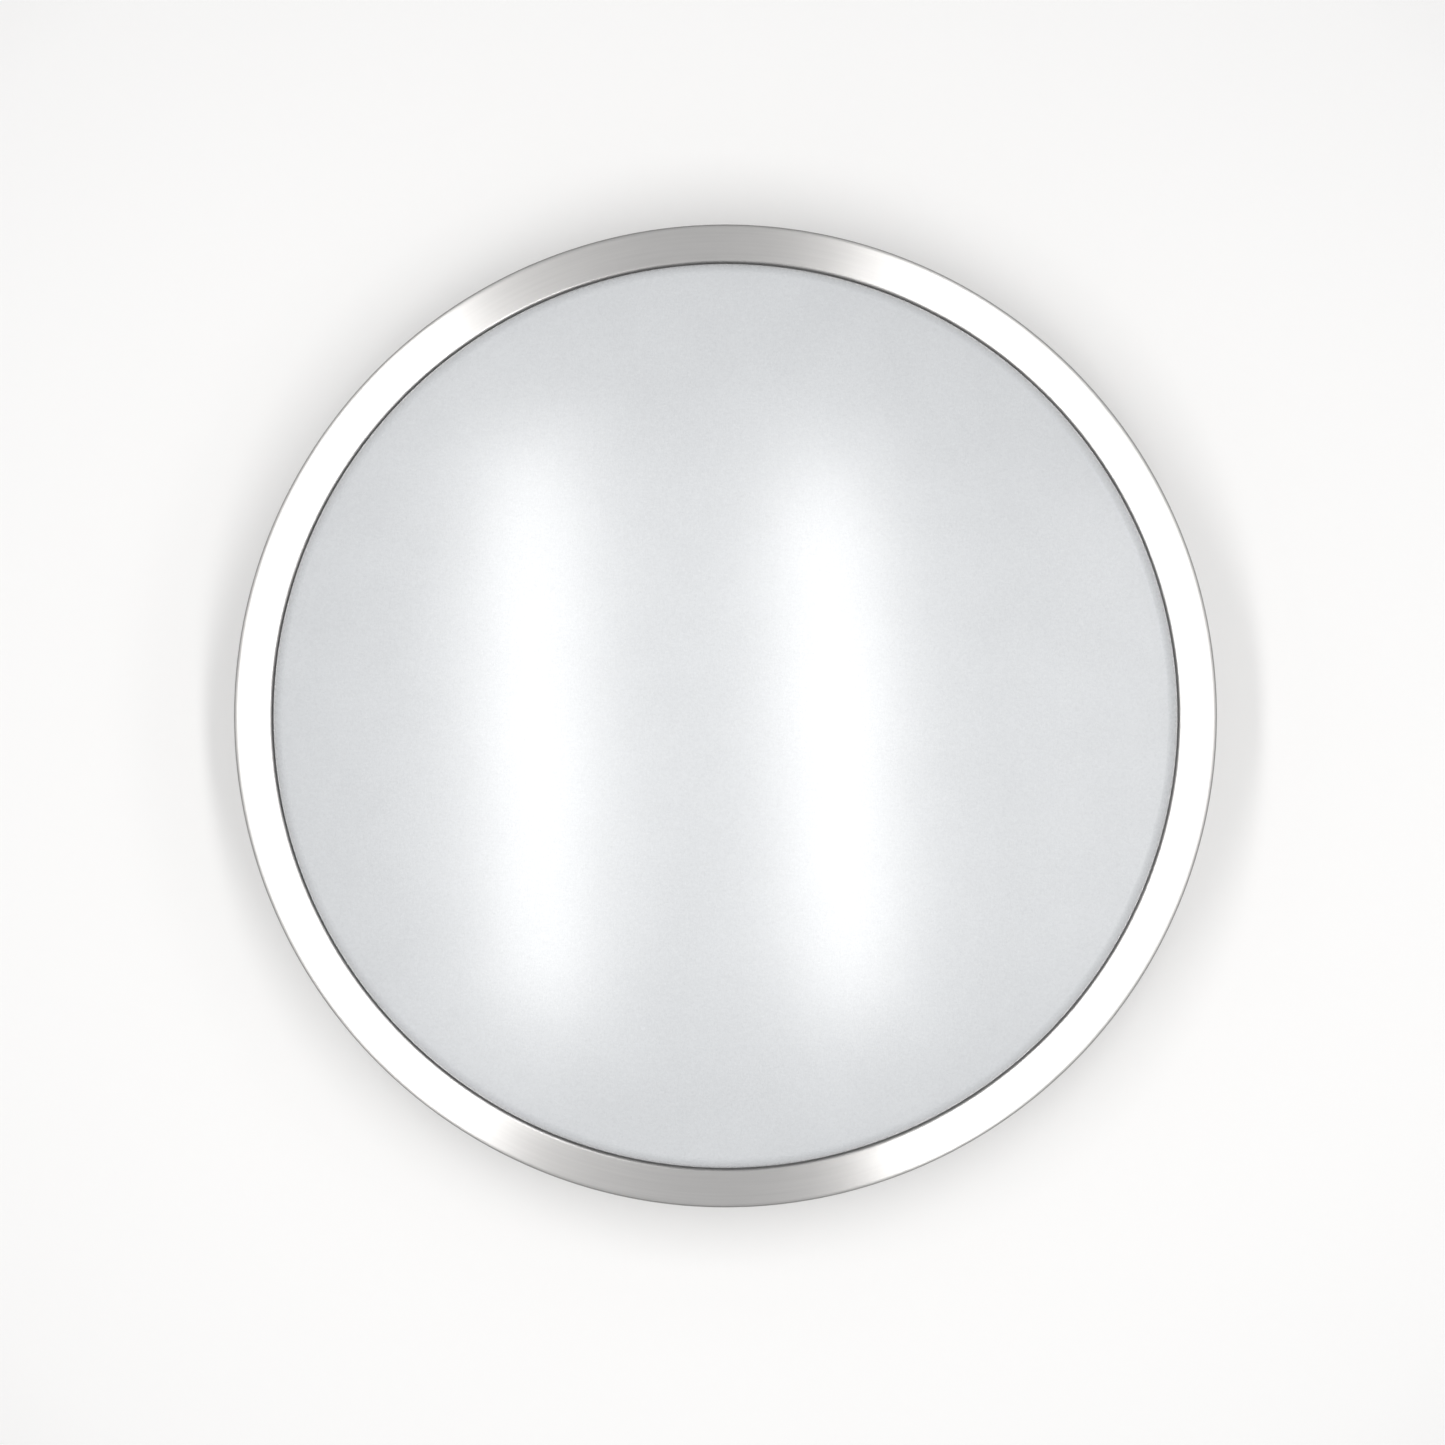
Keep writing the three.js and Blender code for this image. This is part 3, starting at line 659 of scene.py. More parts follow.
def wire_grain(tree: Tree, entry: bpy.types.NodeInputs, leave: bpy.types.NodeOutputs) -> None:
    """Two noises: a fine one for height, and a broad one for tone.

    Args:
        tree: The group's nodes.
        entry: The group's own inputs.
        leave: The group's own outputs.
    """
    place = tree.place()
    tree.feed(leave["Height"], tree.noise(place, entry["Scale"], 5.0))
    broad = tree.maths("MULTIPLY", entry["Scale"], 0.06)
    tree.feed(leave["Tone"], tree.noise(place, broad, 3.0))


def wire_brushing(tree: Tree, entry: bpy.types.NodeInputs, leave: bpy.types.NodeOutputs) -> None:
    """Noise drawn out round the sign's axis: fine across the brushing, long along it.

    The place is (direction from the axis times the arc scale, distance from the axis plus height, times
    the line scale), so that the lines run round both the flat face and the skirt.

    Args:
        tree: The group's nodes.
        entry: The group's own inputs.
        leave: The group's own outputs.
    """
    level, height = tree.flattened()
    arcs = tree.vector("SCALE", tree.vector("NORMALIZE", level), entry["Arcs"])
    across = tree.maths("SUBTRACT", tree.vector("LENGTH", level), height)
    shift = tree.node("CombineXYZ")
    tree.feed(shift.inputs["Z"], tree.maths("MULTIPLY", across, entry["Lines"]))
    place = tree.vector("ADD", arcs, shift.outputs[0])
    tree.feed(leave["Height"], tree.noise(place, 1.0, 4.0))
    tree.feed(leave["Tone"], tree.noise(place, 0.22, 2.0))


def wire_wear(tree: Tree, entry: bpy.types.NodeInputs, leave: bpy.types.NodeOutputs) -> None:
    """The edge value, broken up by noise, so that only the sharp edges rub through.

    Args:
        tree: The group's nodes.
        entry: The group's own inputs.
        leave: The group's own outputs.
    """
    rough = tree.noise(tree.place(), entry["Scale"], 6.0)
    height = tree.maths("MULTIPLY_ADD", entry["Edge"], 0.75, rough)
    worn = tree.spread(height, 0.88, 1.15, 0.0, 1.0)
    tree.feed(leave["Mask"], tree.maths("MULTIPLY", worn, entry["Amount"]))


def wire_dust(tree: Tree, entry: bpy.types.NodeInputs, leave: bpy.types.NodeOutputs) -> None:
    """Noise on faces that look up, none on the rest.

    Args:
        tree: The group's nodes.
        entry: The group's own inputs.
        leave: The group's own outputs.
    """
    normal = tree.node("SeparateXYZ")
    tree.feed(normal.inputs[0], tree.node("NewGeometry").outputs["Normal"])
    facing = tree.spread(normal.outputs["Z"], 0.3, 1.0, 0.0, 1.0)
    cloud = tree.spread(tree.noise(tree.place(), entry["Scale"], 7.0), 0.45, 0.75, 0.0, 1.0)
    dusty = tree.maths("MULTIPLY", facing, cloud)
    tree.feed(leave["Mask"], tree.maths("MULTIPLY", dusty, entry["Amount"]))


EFFECT_SOCKETS = {
    Effect.GRAIN: ({"Scale": 900.0}, ("Height", "Tone")),
    Effect.BRUSHING: ({"Lines": 5000.0, "Arcs": 12.0}, ("Height", "Tone")),
    Effect.WEAR: ({"Edge": 0.0, "Scale": 400.0, "Amount": 1.0}, ("Mask",)),
    Effect.DUST: ({"Scale": 90.0, "Amount": 0.1}, ("Mask",)),
}
EFFECT_WIRING = {
    Effect.GRAIN: wire_grain,
    Effect.BRUSHING: wire_brushing,
    Effect.WEAR: wire_wear,
    Effect.DUST: wire_dust,
}


# ------------------------------------------------------------------ finishes

@dataclass(frozen=True)
class Finish:
    """What every finish has: a name, a colour and a roughness."""

    name: str
    colour: Colour
    roughness: float

    def material(self) -> bpy.types.Material:
        """The finish's material, made at its first use.

        Returns:
            The material.
        """
        found = bpy.data.materials.get(self.name)
        if found:
            return found
        made = bpy.data.materials.new(self.name)
        made.use_nodes = True
        tree = Tree(made.node_tree)
        tree.feed(tree.shader.inputs["Roughness"], self.roughness)
        tree.feed(tree.shader.inputs["Base Color"], (*self.colour, 1.0))
        self.dress(tree)
        return made

    def dress(self, tree: Tree) -> None:
        """Adds what this kind of finish shows."""

    def shade(self, factor: float) -> Colour:
        """The finish's colour, darker or lighter by a factor."""
        return tuple(min(1.0, channel * factor) for channel in self.colour)

    def toned(self, tree: Tree, tone: Socket, low: float, dark: float, pale: float) -> Socket:
        """The finish's colour, shaded from dark to pale as a noise goes from low to as far above a half."""
        share = tree.spread(tone, low, 1 - low, 0.0, 1.0)
        return tree.mixed(share, self.shade(dark), self.shade(pale))

    def gloss(self, tree: Tree, noise: Socket, below: float, above: float) -> None:
        """Lets the roughness follow a noise, from below the finish's own value to above it."""
        rough = tree.spread(noise, 0.3, 0.7, self.roughness - below, self.roughness + above)
        tree.feed(tree.shader.inputs["Roughness"], rough)


@dataclass(frozen=True)
class Paper(Finish):
    """Plain matt card without gloss, painted a little paler away from the middle as painted light, which
    leaves it darker round the sign as painted shade.
    """

    # Painted light: how much paler the floor is painted far from the sign.
    pale: float = 1.09
    reach: tuple[float, float] = (0.21, 0.34)

    def dress(self, tree: Tree) -> None:
        """The colour by distance from the axis: painted light far out, painted shade near the sign.

        Args:
            tree: The material's nodes.
        """
        # Painted light and shade: the floor grows paler with distance from the axis and stays darker round
        # the sign.
        away = tree.spread(tree.vector("LENGTH", tree.place()), *self.reach, 0.0, 1.0)
        tree.feed(tree.shader.inputs["Base Color"], tree.mixed(away, self.colour, self.shade(self.pale)))
        tree.plain({"Specular IOR Level": 0.1})


@dataclass(frozen=True)
class Moulded(Finish):
    """Moulded plastic or rubber: a fine grain, slow changes of tone, a little dust on top."""

    grain: float = 1400.0
    depth: float = 0.00002
    dust: float = 0.08
    dust_colour: Colour = (0.75, 0.73, 0.7)
    through: float = 0.0

    def dress(self, tree: Tree) -> None:
        """Grain in the height, tone in the colour and the roughness, and dust over both.

        Args:
            tree: The material's nodes.
        """
        grain = tree.group(Effect.GRAIN, Scale=self.grain)
        dust = tree.group(Effect.DUST, Amount=self.dust)["Mask"]
        base = self.toned(tree, grain["Tone"], 0.3, 0.9, 1.06)
        tree.feed(tree.shader.inputs["Base Color"], tree.mixed(dust, base, self.dust_colour))
        self.gloss(tree, grain["Height"], 0.05, 0.07)
        tree.plain({
            "Subsurface Weight": self.through,
            "Subsurface Radius": (1.0, 1.0, 1.0),
            "Subsurface Scale": 2 * MM,
        })
        tree.bump(grain["Height"], self.depth)


@dataclass(frozen=True)
class Opal(Finish):
    """Opal acrylic: white all through, with a soft gloss and the faint ripple of a blown sheet."""

    ripple: float = 60.0
    bending: float = 1.48

    def dress(self, tree: Tree) -> None:
        """A broad ripple in the height, a faint mottle in the gloss and the colour.

        Args:
            tree: The material's nodes.
        """
        grain = tree.group(Effect.GRAIN, Scale=self.ripple * 12)
        broad = tree.noise(tree.place(), self.ripple, 2.0)
        tree.feed(tree.shader.inputs["Base Color"], self.toned(tree, grain["Tone"], 0.35, 0.985, 1.01))
        self.gloss(tree, grain["Height"], 0.012, 0.012)
        tree.plain({
            "IOR": self.bending,
            "Coat Weight": 1.0,
            "Coat Roughness": self.roughness,
            "Coat IOR": self.bending,
            "Subsurface Weight": 0.3,
            "Subsurface Radius": (1.0, 1.0, 1.0),
            "Subsurface Scale": 3 * MM,
        })
        tree.bump(tree.maths("MULTIPLY_ADD", grain["Height"], 0.06, broad), 0.00001)


@dataclass(frozen=True)
class BrushedMetal(Finish):
    """Metal brushed round the sign's axis, so that its gloss spreads out from the middle."""

    lines: float = 5200.0
    stretch: float = 1.0
    # Painted shade: how dark the outer rim is painted.
    rim_shade_amount: float = 0.75

    def dress(self, tree: Tree) -> None:
        """Brush lines in the height, the roughness and the tone; the bent rim painted a good deal darker as
        painted shade.

        Args:
            tree: The material's nodes.
        """
        brushed = tree.group(Effect.BRUSHING, Lines=self.lines, Arcs=14.0)
        edge = tree.node("Attribute", attribute_name="edge").outputs["Fac"]
        base = tree.mixed(brushed["Tone"], self.shade(0.93), self.shade(1.05))
        # Painted shade: the colour darkens towards the ring's bent outer rim and stands in for the dark line
        # of shade along its edge.
        painted_rim_shade = tree.spread(edge, 0.05, 0.17, 0.0, self.rim_shade_amount)
        tree.feed(tree.shader.inputs["Base Color"], tree.mixed(painted_rim_shade, base, self.shade(0.35)))
        self.gloss(tree, brushed["Height"], 0.04, 0.05)
        tree.plain({"Metallic": 1.0, "Anisotropic": self.stretch, "Anisotropic Rotation": 0.25})
        around = tree.node("Tangent", direction_type="RADIAL", axis="Z")
        tree.feed(tree.shader.inputs["Tangent"], around.outputs[0])
        tree.bump(brushed["Height"], 0.000004)


@dataclass(frozen=True)
class Enamel(Finish):
    """Baked paint on pressed steel: orange peel, a thin scuff of metal along sharp edges, some dust."""

    metal: Colour = (0.52, 0.53, 0.54)
    wear: float = 0.4

    def dress(self, tree: Tree) -> None:
        """Peel in the height, tone in the colour, and bare metal where the edges rub.

        Args:
            tree: The material's nodes.
        """
        grain = tree.group(Effect.GRAIN, Scale=700.0)
        edge = tree.node("Attribute", attribute_name="edge").outputs["Fac"]
        worn = tree.group(Effect.WEAR, Edge=edge, Scale=520.0, Amount=self.wear)["Mask"]
        dust = tree.group(Effect.DUST, Amount=0.12)["Mask"]
        dusty = tree.mixed(dust, self.toned(tree, grain["Tone"], 0.3, 0.95, 1.02), DUST_COLOUR)
        tree.feed(tree.shader.inputs["Base Color"], tree.mixed(worn, dusty, self.metal))
        tree.feed(tree.shader.inputs["Metallic"], worn)
        self.gloss(tree, grain["Height"], 0.06, 0.08)
        tree.bump(grain["Height"], 0.00003)


@dataclass(frozen=True)
class PlainMetal(Finish):
    """Plated or rolled metal: fine scratches, a mottled plate and slightly uneven gloss."""

    mottle: float = 260.0

    def dress(self, tree: Tree) -> None:
        """Mottle in the colour, fine grain in the gloss and the height.

        Args:
            tree: The material's nodes.
        """
        grain = tree.group(Effect.GRAIN, Scale=self.mottle * 8)
        cloud = tree.noise(tree.place(), self.mottle, 4.0)
        tree.feed(tree.shader.inputs["Base Color"], self.toned(tree, cloud, 0.35, 0.82, 1.08))
        self.gloss(tree, cloud, 0.07, 0.09)
        tree.plain({"Metallic": 1.0})
        tree.bump(grain["Height"], 0.000006)


class Finishes:
    """Every finish on the sign, by the record's material slot."""

    NICKEL = BrushedMetal("satin_nickel", (0.67, 0.66, 0.65), 0.34)
    OPAL = Opal("opal_acrylic", (0.568, 0.582, 0.597), 0.275)
    FOAM = Moulded("gasket_foam", (0.80, 0.77, 0.80), 0.85, grain=2600.0, depth=0.00012, dust=0.05)
    ENAMEL = Enamel("white_enamel", (0.80, 0.80, 0.78), 0.36)
    SPRING = PlainMetal("spring_steel", (0.56, 0.57, 0.59), 0.28, mottle=180.0)
    ZINC = PlainMetal("zinc_plate", (0.66, 0.68, 0.71), 0.32)
    GREEN_SCREW = PlainMetal("green_screw", (0.12, 0.42, 0.2), 0.34)
    RUBBER = Moulded("bush_rubber", (0.035, 0.035, 0.036), 0.62, dust=0.2)
    PHOSPHOR = Moulded("led_phosphor", (0.86, 0.68, 0.16), 0.35, grain=5200.0, dust=0.0, through=0.2)
    CHIP = Moulded("led_housing", (0.86, 0.86, 0.84), 0.4, grain=4000.0, dust=0.0)
    SOLDER = PlainMetal("solder", (0.74, 0.74, 0.75), 0.25, mottle=900.0)
    WHITE_NYLON = Moulded("white_nylon", (0.78, 0.78, 0.755), 0.46, through=0.1)
    GREY_NYLON = Moulded("grey_nylon", (0.40, 0.41, 0.42), 0.48)
    LEVER = Moulded("lever_orange", (0.78, 0.25, 0.035), 0.34, through=0.1)
    GREEN_BOARD = Moulded("green_board", (0.035, 0.19, 0.08), 0.38, dust=0.0)
    TAPE = Moulded("winding_tape", (0.72, 0.56, 0.06), 0.3, dust=0.0)
    SLEEVE = Moulded("capacitor_sleeve", (0.02, 0.03, 0.07), 0.3, dust=0.0)
    COPPER = PlainMetal("copper_winding", (0.72, 0.32, 0.15), 0.3)
    WIRE_BLACK = Moulded("wire_black", (0.022, 0.022, 0.024), 0.42)
    WIRE_WHITE = Moulded("wire_white", (0.76, 0.75, 0.71), 0.42)
    WIRE_GREEN = Moulded("wire_green", (0.05, 0.32, 0.09), 0.42)
    WIRE_RED = Moulded("wire_red", (0.55, 0.035, 0.025), 0.42)


@dataclass(frozen=True)
class LedBoardMask(Finish):
    """White mask over copper: the copper's edges stand up a hair and look a little greyer."""

    chip_rings: tuple[float, ...] = (94 * MM, 120 * MM)
    land: float = 5.2 * MM
    copper: Colour = (0.70, 0.71, 0.69)

    def dress(self, tree: Tree) -> None:
        """Two copper bands under the mask, one along each ring of chips, and a fine grain over all.

        A band is where the distance from the ring of chips is less than half the land's width.

        Args:
            tree: The material's nodes.
        """
        distance = tree.vector("LENGTH", tree.flattened()[0])
        bands = []
        for radius in self.chip_rings:
            away = tree.maths("ABSOLUTE", tree.maths("SUBTRACT", distance, radius))
            bands.append(tree.spread(away, self.land / 2, self.land / 2 + 0.2 * MM, 1.0, 0.0))
        land = tree.maths("MAXIMUM", bands[0], bands[1])
        grain = tree.group(Effect.GRAIN, Scale=1500.0)
        dust = tree.group(Effect.DUST, Amount=0.06)["Mask"]
        mask = tree.mixed(land, self.colour, self.copper)
        tree.feed(tree.shader.inputs["Base Color"], tree.mixed(dust, mask, DUST_COLOUR))
        self.gloss(tree, grain["Height"], 0.05, 0.06)
        tree.bump(tree.maths("MULTIPLY_ADD", grain["Height"], 0.15, land), 0.00005)


BOARD_MASK = LedBoardMask("led_board_mask", (0.84, 0.845, 0.83), 0.4)


# ------------------------------------------------------------------ pieces and how they join the frame

class Body(Enum):
    """The bodies of the frame that pieces ride on."""

    HOUSING = "housing"
    FACE = "face"


def fit(
    piece: bpy.types.Object,
    body: Body,
    finish: Finish,
    nodes: Sequence[str] = (),
) -> bpy.types.Object:
    """Dresses a piece, rides it on its body and lets it stand for its solids.

    Args:
        piece: The finished object.
        body: The body that it moves with.
        finish: What its surface looks like.
        nodes: The solids that it replaces, if any.

    Returns:
        The same object.
    """
    piece.data.materials.clear()
    piece.data.materials.append(finish.material())
    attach(piece, body.value)
    if nodes:
        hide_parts(*nodes)
    LOG.info("%s: %d faces", piece.name, len(piece.data.polygons))
    return piece


def ease(node: bpy.types.Object, finish: Finish, radius: float, steps: int = 2) -> None:
    """Gives a solid from the frame rounded edges and a finish, and leaves its mesh as it is.

    The solid's loose triangles are welded, its flat triangles become whole faces, and each edge that
    bends more than ROUNDED_ANGLE is rounded.

    Args:
        node: The solid's object.
        finish: What its surface looks like.
        radius: Radius of the rounded edges.
        steps: Stretches across each rounding.
    """
    weld = node.modifiers.new("weld", "WELD")
    weld.merge_threshold = 0.01 * MM
    flat = node.modifiers.new("flat", "DECIMATE")
    flat.decimate_type = "DISSOLVE"
    flat.angle_limit = math.radians(1.0)
    round_off = node.modifiers.new("round", "BEVEL")
    round_off.width = radius
    round_off.segments = steps
    round_off.limit_method = "ANGLE"
    round_off.angle_limit = math.radians(ROUNDED_ANGLE)
    round_off.harden_normals = True
    node.data.shade_smooth()
    node.data.materials.clear()
    node.data.materials.append(finish.material())
    LOG.info("%s: eased by %.2f mm", node.name, radius / MM)


def pierce(piece: bpy.types.Object, tools: Sequence[Skin]) -> None:
    """Cuts holes through a piece and keeps the result in its mesh.

    Args:
        piece: The object to cut.
        tools: Closed skins that fill the holes.
    """
    cutter = make_object("cutter", joined(tools))
    cut = piece.modifiers.new("holes", "BOOLEAN")
    cut.operation = "DIFFERENCE"
    cut.solver = "EXACT"
    cut.use_self = True
    cut.object = cutter
    bpy.context.view_layer.update()
    result = bpy.data.meshes.new_from_object(piece.evaluated_get(bpy.context.evaluated_depsgraph_get()))
    piece.modifiers.clear()
    piece.data = result
    bpy.data.objects.remove(cutter)
    smooth_by_angle(result, SHARP_ANGLE)


def upright_bar(x: float, y: float, low: float, high: float, radius: float, sides: int = 48) -> Skin:
    """A straight round bar from one height to another."""
    path = np.array([[x, y, low], [x, y, high]])
    return swept(path, np.full(2, radius), sides)


def keyhole_tools(x: float, head_y: float, slot_y: float, radii: tuple[float, float]) -> list[Skin]:
    """The tools for a keyhole: a round head hole, a slot's round end, and the block between them.

    Args:
        x: Where the keyhole is across the pan.
        head_y: Where its head hole is.
        slot_y: Where its slot ends.
        radii: Radius of the head hole and half the width of the slot.

    Returns:
        Three closed skins.
    """
    head, slot = radii
    low, high = -2 * MM, 3 * MM
    middle = (x, (head_y + slot_y) / 2, (low + high) / 2)
    size = (2 * slot, slot_y - head_y, high - low)
    return [
        upright_bar(x, head_y, low, high, head),
        upright_bar(x, slot_y, low, high, slot),
        rounded_block(size, middle, 0.001 * MM, 1),
    ]


def cross_screw(head: float, height: float, shank: float, length: float) -> Skin:
    """A pan-head screw with a cross recess, its tip at height zero.

    The head's top is height times the fourth root of (1 - (r / head)^4) above the seat. Inside the
    recess the surface drops by its depth where the distance to the nearer of two crossed lines is under
    half its width and the distance from the middle is under its reach, with a soft step between.

    Args:
        head: Radius of the head.
        height: Height of the head.
        shank: Radius of the shank.
        length: Length of the shank under the head.

    Returns:
        A closed skin.
    """
    spokes = 72
    depth, half_width, reach = 1.1 * MM, 0.55 * MM, 1.7 * MM
    angles = np.linspace(0, TURN, spokes, endpoint=False)
    flat_part, round_part = np.linspace(0.02, 0.62, 16), np.sin(np.linspace(0.72, math.pi / 2, 9))
    top_radii = np.concatenate((flat_part, round_part)) * head
    radius, angle = np.meshgrid(top_radii[::-1], angles, indexing="ij")
    share = np.clip(radius / head, 0, 1)
    crown = height * np.power(np.clip(1 - share**4, 0, 1), 0.25)
    across = np.minimum(np.abs(radius * np.cos(angle)), np.abs(radius * np.sin(angle)))
    inside_bar = 1 / (1 + np.exp((across - half_width) / (0.06 * MM)))
    inside_round = 1 / (1 + np.exp((radius - reach) / (0.1 * MM)))
    level = length + crown - depth * inside_bar * inside_round
    top = np.stack((radius * np.cos(angle), radius * np.sin(angle), level), axis=2)
    below = np.array([
        (0.4 * shank, 0.0),
        (shank, 0.5 * MM),
        (shank, length),
        (head * 0.97, length),
        (head, length + 0.12 * MM),
    ])
    low_radius, low_angle = np.meshgrid(below[:, 0], angles, indexing="ij")
    low_level = np.repeat(below[:, 1][:, None], spokes, axis=1)
    under = np.stack((low_radius * np.cos(low_angle), low_radius * np.sin(low_angle), low_level), axis=2)
    points = np.concatenate((under, top)).reshape(-1, 3)
    return closed_grid(points, spokes, [(0, 0, 0), (0, 0, points[-spokes:, 2].mean())])


def seated_screw(name: str, seat: float, head: float = SCREW_HEAD) -> Skin:
    """A cross screw on the axis, as high as a node's box, with its head's underside at a seat.

    Args:
        name: The node that it stands for.
        seat: Height of the face that the head sits on.
        head: Radius of the head.

    Returns:
        A closed skin.
    """
    low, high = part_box(name)
    return cross_screw(head, high.z - seat, SCREW_SHANK, seat - low.z).moved((0, 0, low.z))


def box_middle(name: str) -> np.ndarray:
    """The middle of a node's box."""
    low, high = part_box(name)
    return np.array([(low.x + high.x) / 2, (low.y + high.y) / 2, (low.z + high.z) / 2])


# ------------------------------------------------------------------ the face

@dataclass
class Face:
    """The part that pulls off: the ring, the dome it holds, the gasket and the brackets."""

    ring_sheet: float = 1.0 * MM
    ring_edge: float = 1.6 * MM
    ring_lip: float = 0.8 * MM
    ring_lip_depth: float = 3.4 * MM
    # Painted shade: the width of the outer rim that is painted darker.
    shaded_rim: float = 1.0 * MM
    opening: float = 152.2 * MM
    dome_wall: float = 2.0 * MM
    dome_side: float = 151.4 * MM
    dome_shoulder: float = 5.0 * MM
    dome_rise: float = 9.6 * MM
    clips: int = 4

    def ring(self) -> Skin:
        """The ring's sheet: up the lip, over the flat face, round the outer edge and down the skirt.

        Only the outermost rim keeps its edge value, for the painted shade that darkens it: the share rises to
        full over the first half of it.

        Returns:
            A closed skin with the share of painted shade at each point.
        """
        low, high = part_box("trim_ring")
        half = self.ring_sheet / 2
        lip = (self.opening + self.ring_lip, high.z - self.ring_lip)
        edge = (high.x - self.ring_edge, high.z - self.ring_edge)
        lip_foot = np.linspace(high.z - self.ring_lip_depth, high.z - 1.2 * self.ring_lip, 3)
        face_radii = np.linspace(lip[0] + 0.6 * MM, edge[0] - 0.6 * MM, 7)
        skirt = np.linspace(edge[1] - 1.0 * MM, low.z, 8)
        middle = outline(
            np.column_stack((np.full(3, self.opening + half), lip_foot)),
            arc(lip, self.ring_lip - half, 180, 90, 8),
            np.column_stack((face_radii, np.full(7, high.z - half))),
            arc(edge, self.ring_edge - half, 90, 0, 14),
            np.column_stack((np.full(8, high.x - half), skirt)),
        )
        skin = revolved(sheet_outline(middle, self.ring_sheet), 288)
        # Painted shade: only the outer rim keeps its edge value, so that the nickel is painted darker there.
        beyond = np.hypot(*skin.points[:, :2].T) - (high.x - self.shaded_rim)
        share = np.clip(2 * beyond / self.shaded_rim, 0, 1)
        return Skin(skin.points, skin.quads, skin.triangles, skin.edge * share)

    def dome_middle(self) -> Profile:
        """The dome's middle line: a shallow arc of a sphere, a round shoulder, a side and a flange.

        The sphere's radius is (r squared + rise squared) / (2 rise), where r is where the shoulder starts.

        Returns:
            Rows of (radius, height), from the axis outwards.
        """
        low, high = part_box("dome_lens")
        half = self.dome_wall / 2
        start = self.dome_side - self.dome_shoulder
        sphere = (start**2 + self.dome_rise**2) / (2 * self.dome_rise)
        slope = math.degrees(math.asin(start / sphere))
        crown = arc((0, high.z - sphere), sphere - half, 90, 90 - slope, 40)[:-1]
        crown[0, 0] = 0
        shoulder_z = high.z - self.dome_rise - self.dome_shoulder
        flange_z = low.z + half
        bend = 1.6 * MM
        return outline(
            crown,
            arc((start, shoulder_z), self.dome_shoulder - half, 90 - slope, 0, 14),
            arc((self.dome_side - half + bend, flange_z + bend), bend, 180, 270, 6),
            (high.x, flange_z),
        )

    def dome(self) -> Skin:
        """Both faces of the dome, turned round the axis."""
        return revolved(sheet_outline(self.dome_middle(), self.dome_wall), 288)

    def gasket(self) -> Skin:
        """A foam ring: a flat band whose free sides bulge out by a fifth of its height.

        Returns:
            A closed skin.
        """
        low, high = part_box("lens_gasket")
        half = (high.z - low.z) / 2
        middle_z = (high.z + low.z) / 2
        bulge = half * 0.4
        inner = self.opening + self.ring_sheet + 0.3 * MM + bulge
        turn = np.radians(np.linspace(-90, 90, 9))
        outer = np.column_stack((high.x - bulge + bulge * np.cos(turn), middle_z + half * np.sin(turn)))
        inside = np.column_stack((inner - bulge * np.cos(turn[::-1]), middle_z + half * np.sin(turn[::-1])))
        return revolved(np.vstack((outer, inside)), 192)

    def build(self, nodes: dict[str, bpy.types.Object]) -> None:
        """Makes the face's pieces and fits them to the body that slides off.

        Args:
            nodes: The frame's objects by the names of their nodes.
        """
        fit(make_object("ring", self.ring()), Body.FACE, Finishes.NICKEL, ["trim_ring"])
        fit(make_object("dome", self.dome()), Body.FACE, Finishes.OPAL, ["dome_lens"])
        fit(make_object("gasket", self.gasket()), Body.FACE, Finishes.FOAM, ["lens_gasket"])
        for number in range(1, self.clips + 1):
            ease(nodes[f"lens_clip_{number}"], Finishes.SPRING, 0.18 * MM)


# ------------------------------------------------------------------ the pan and what grips the ring

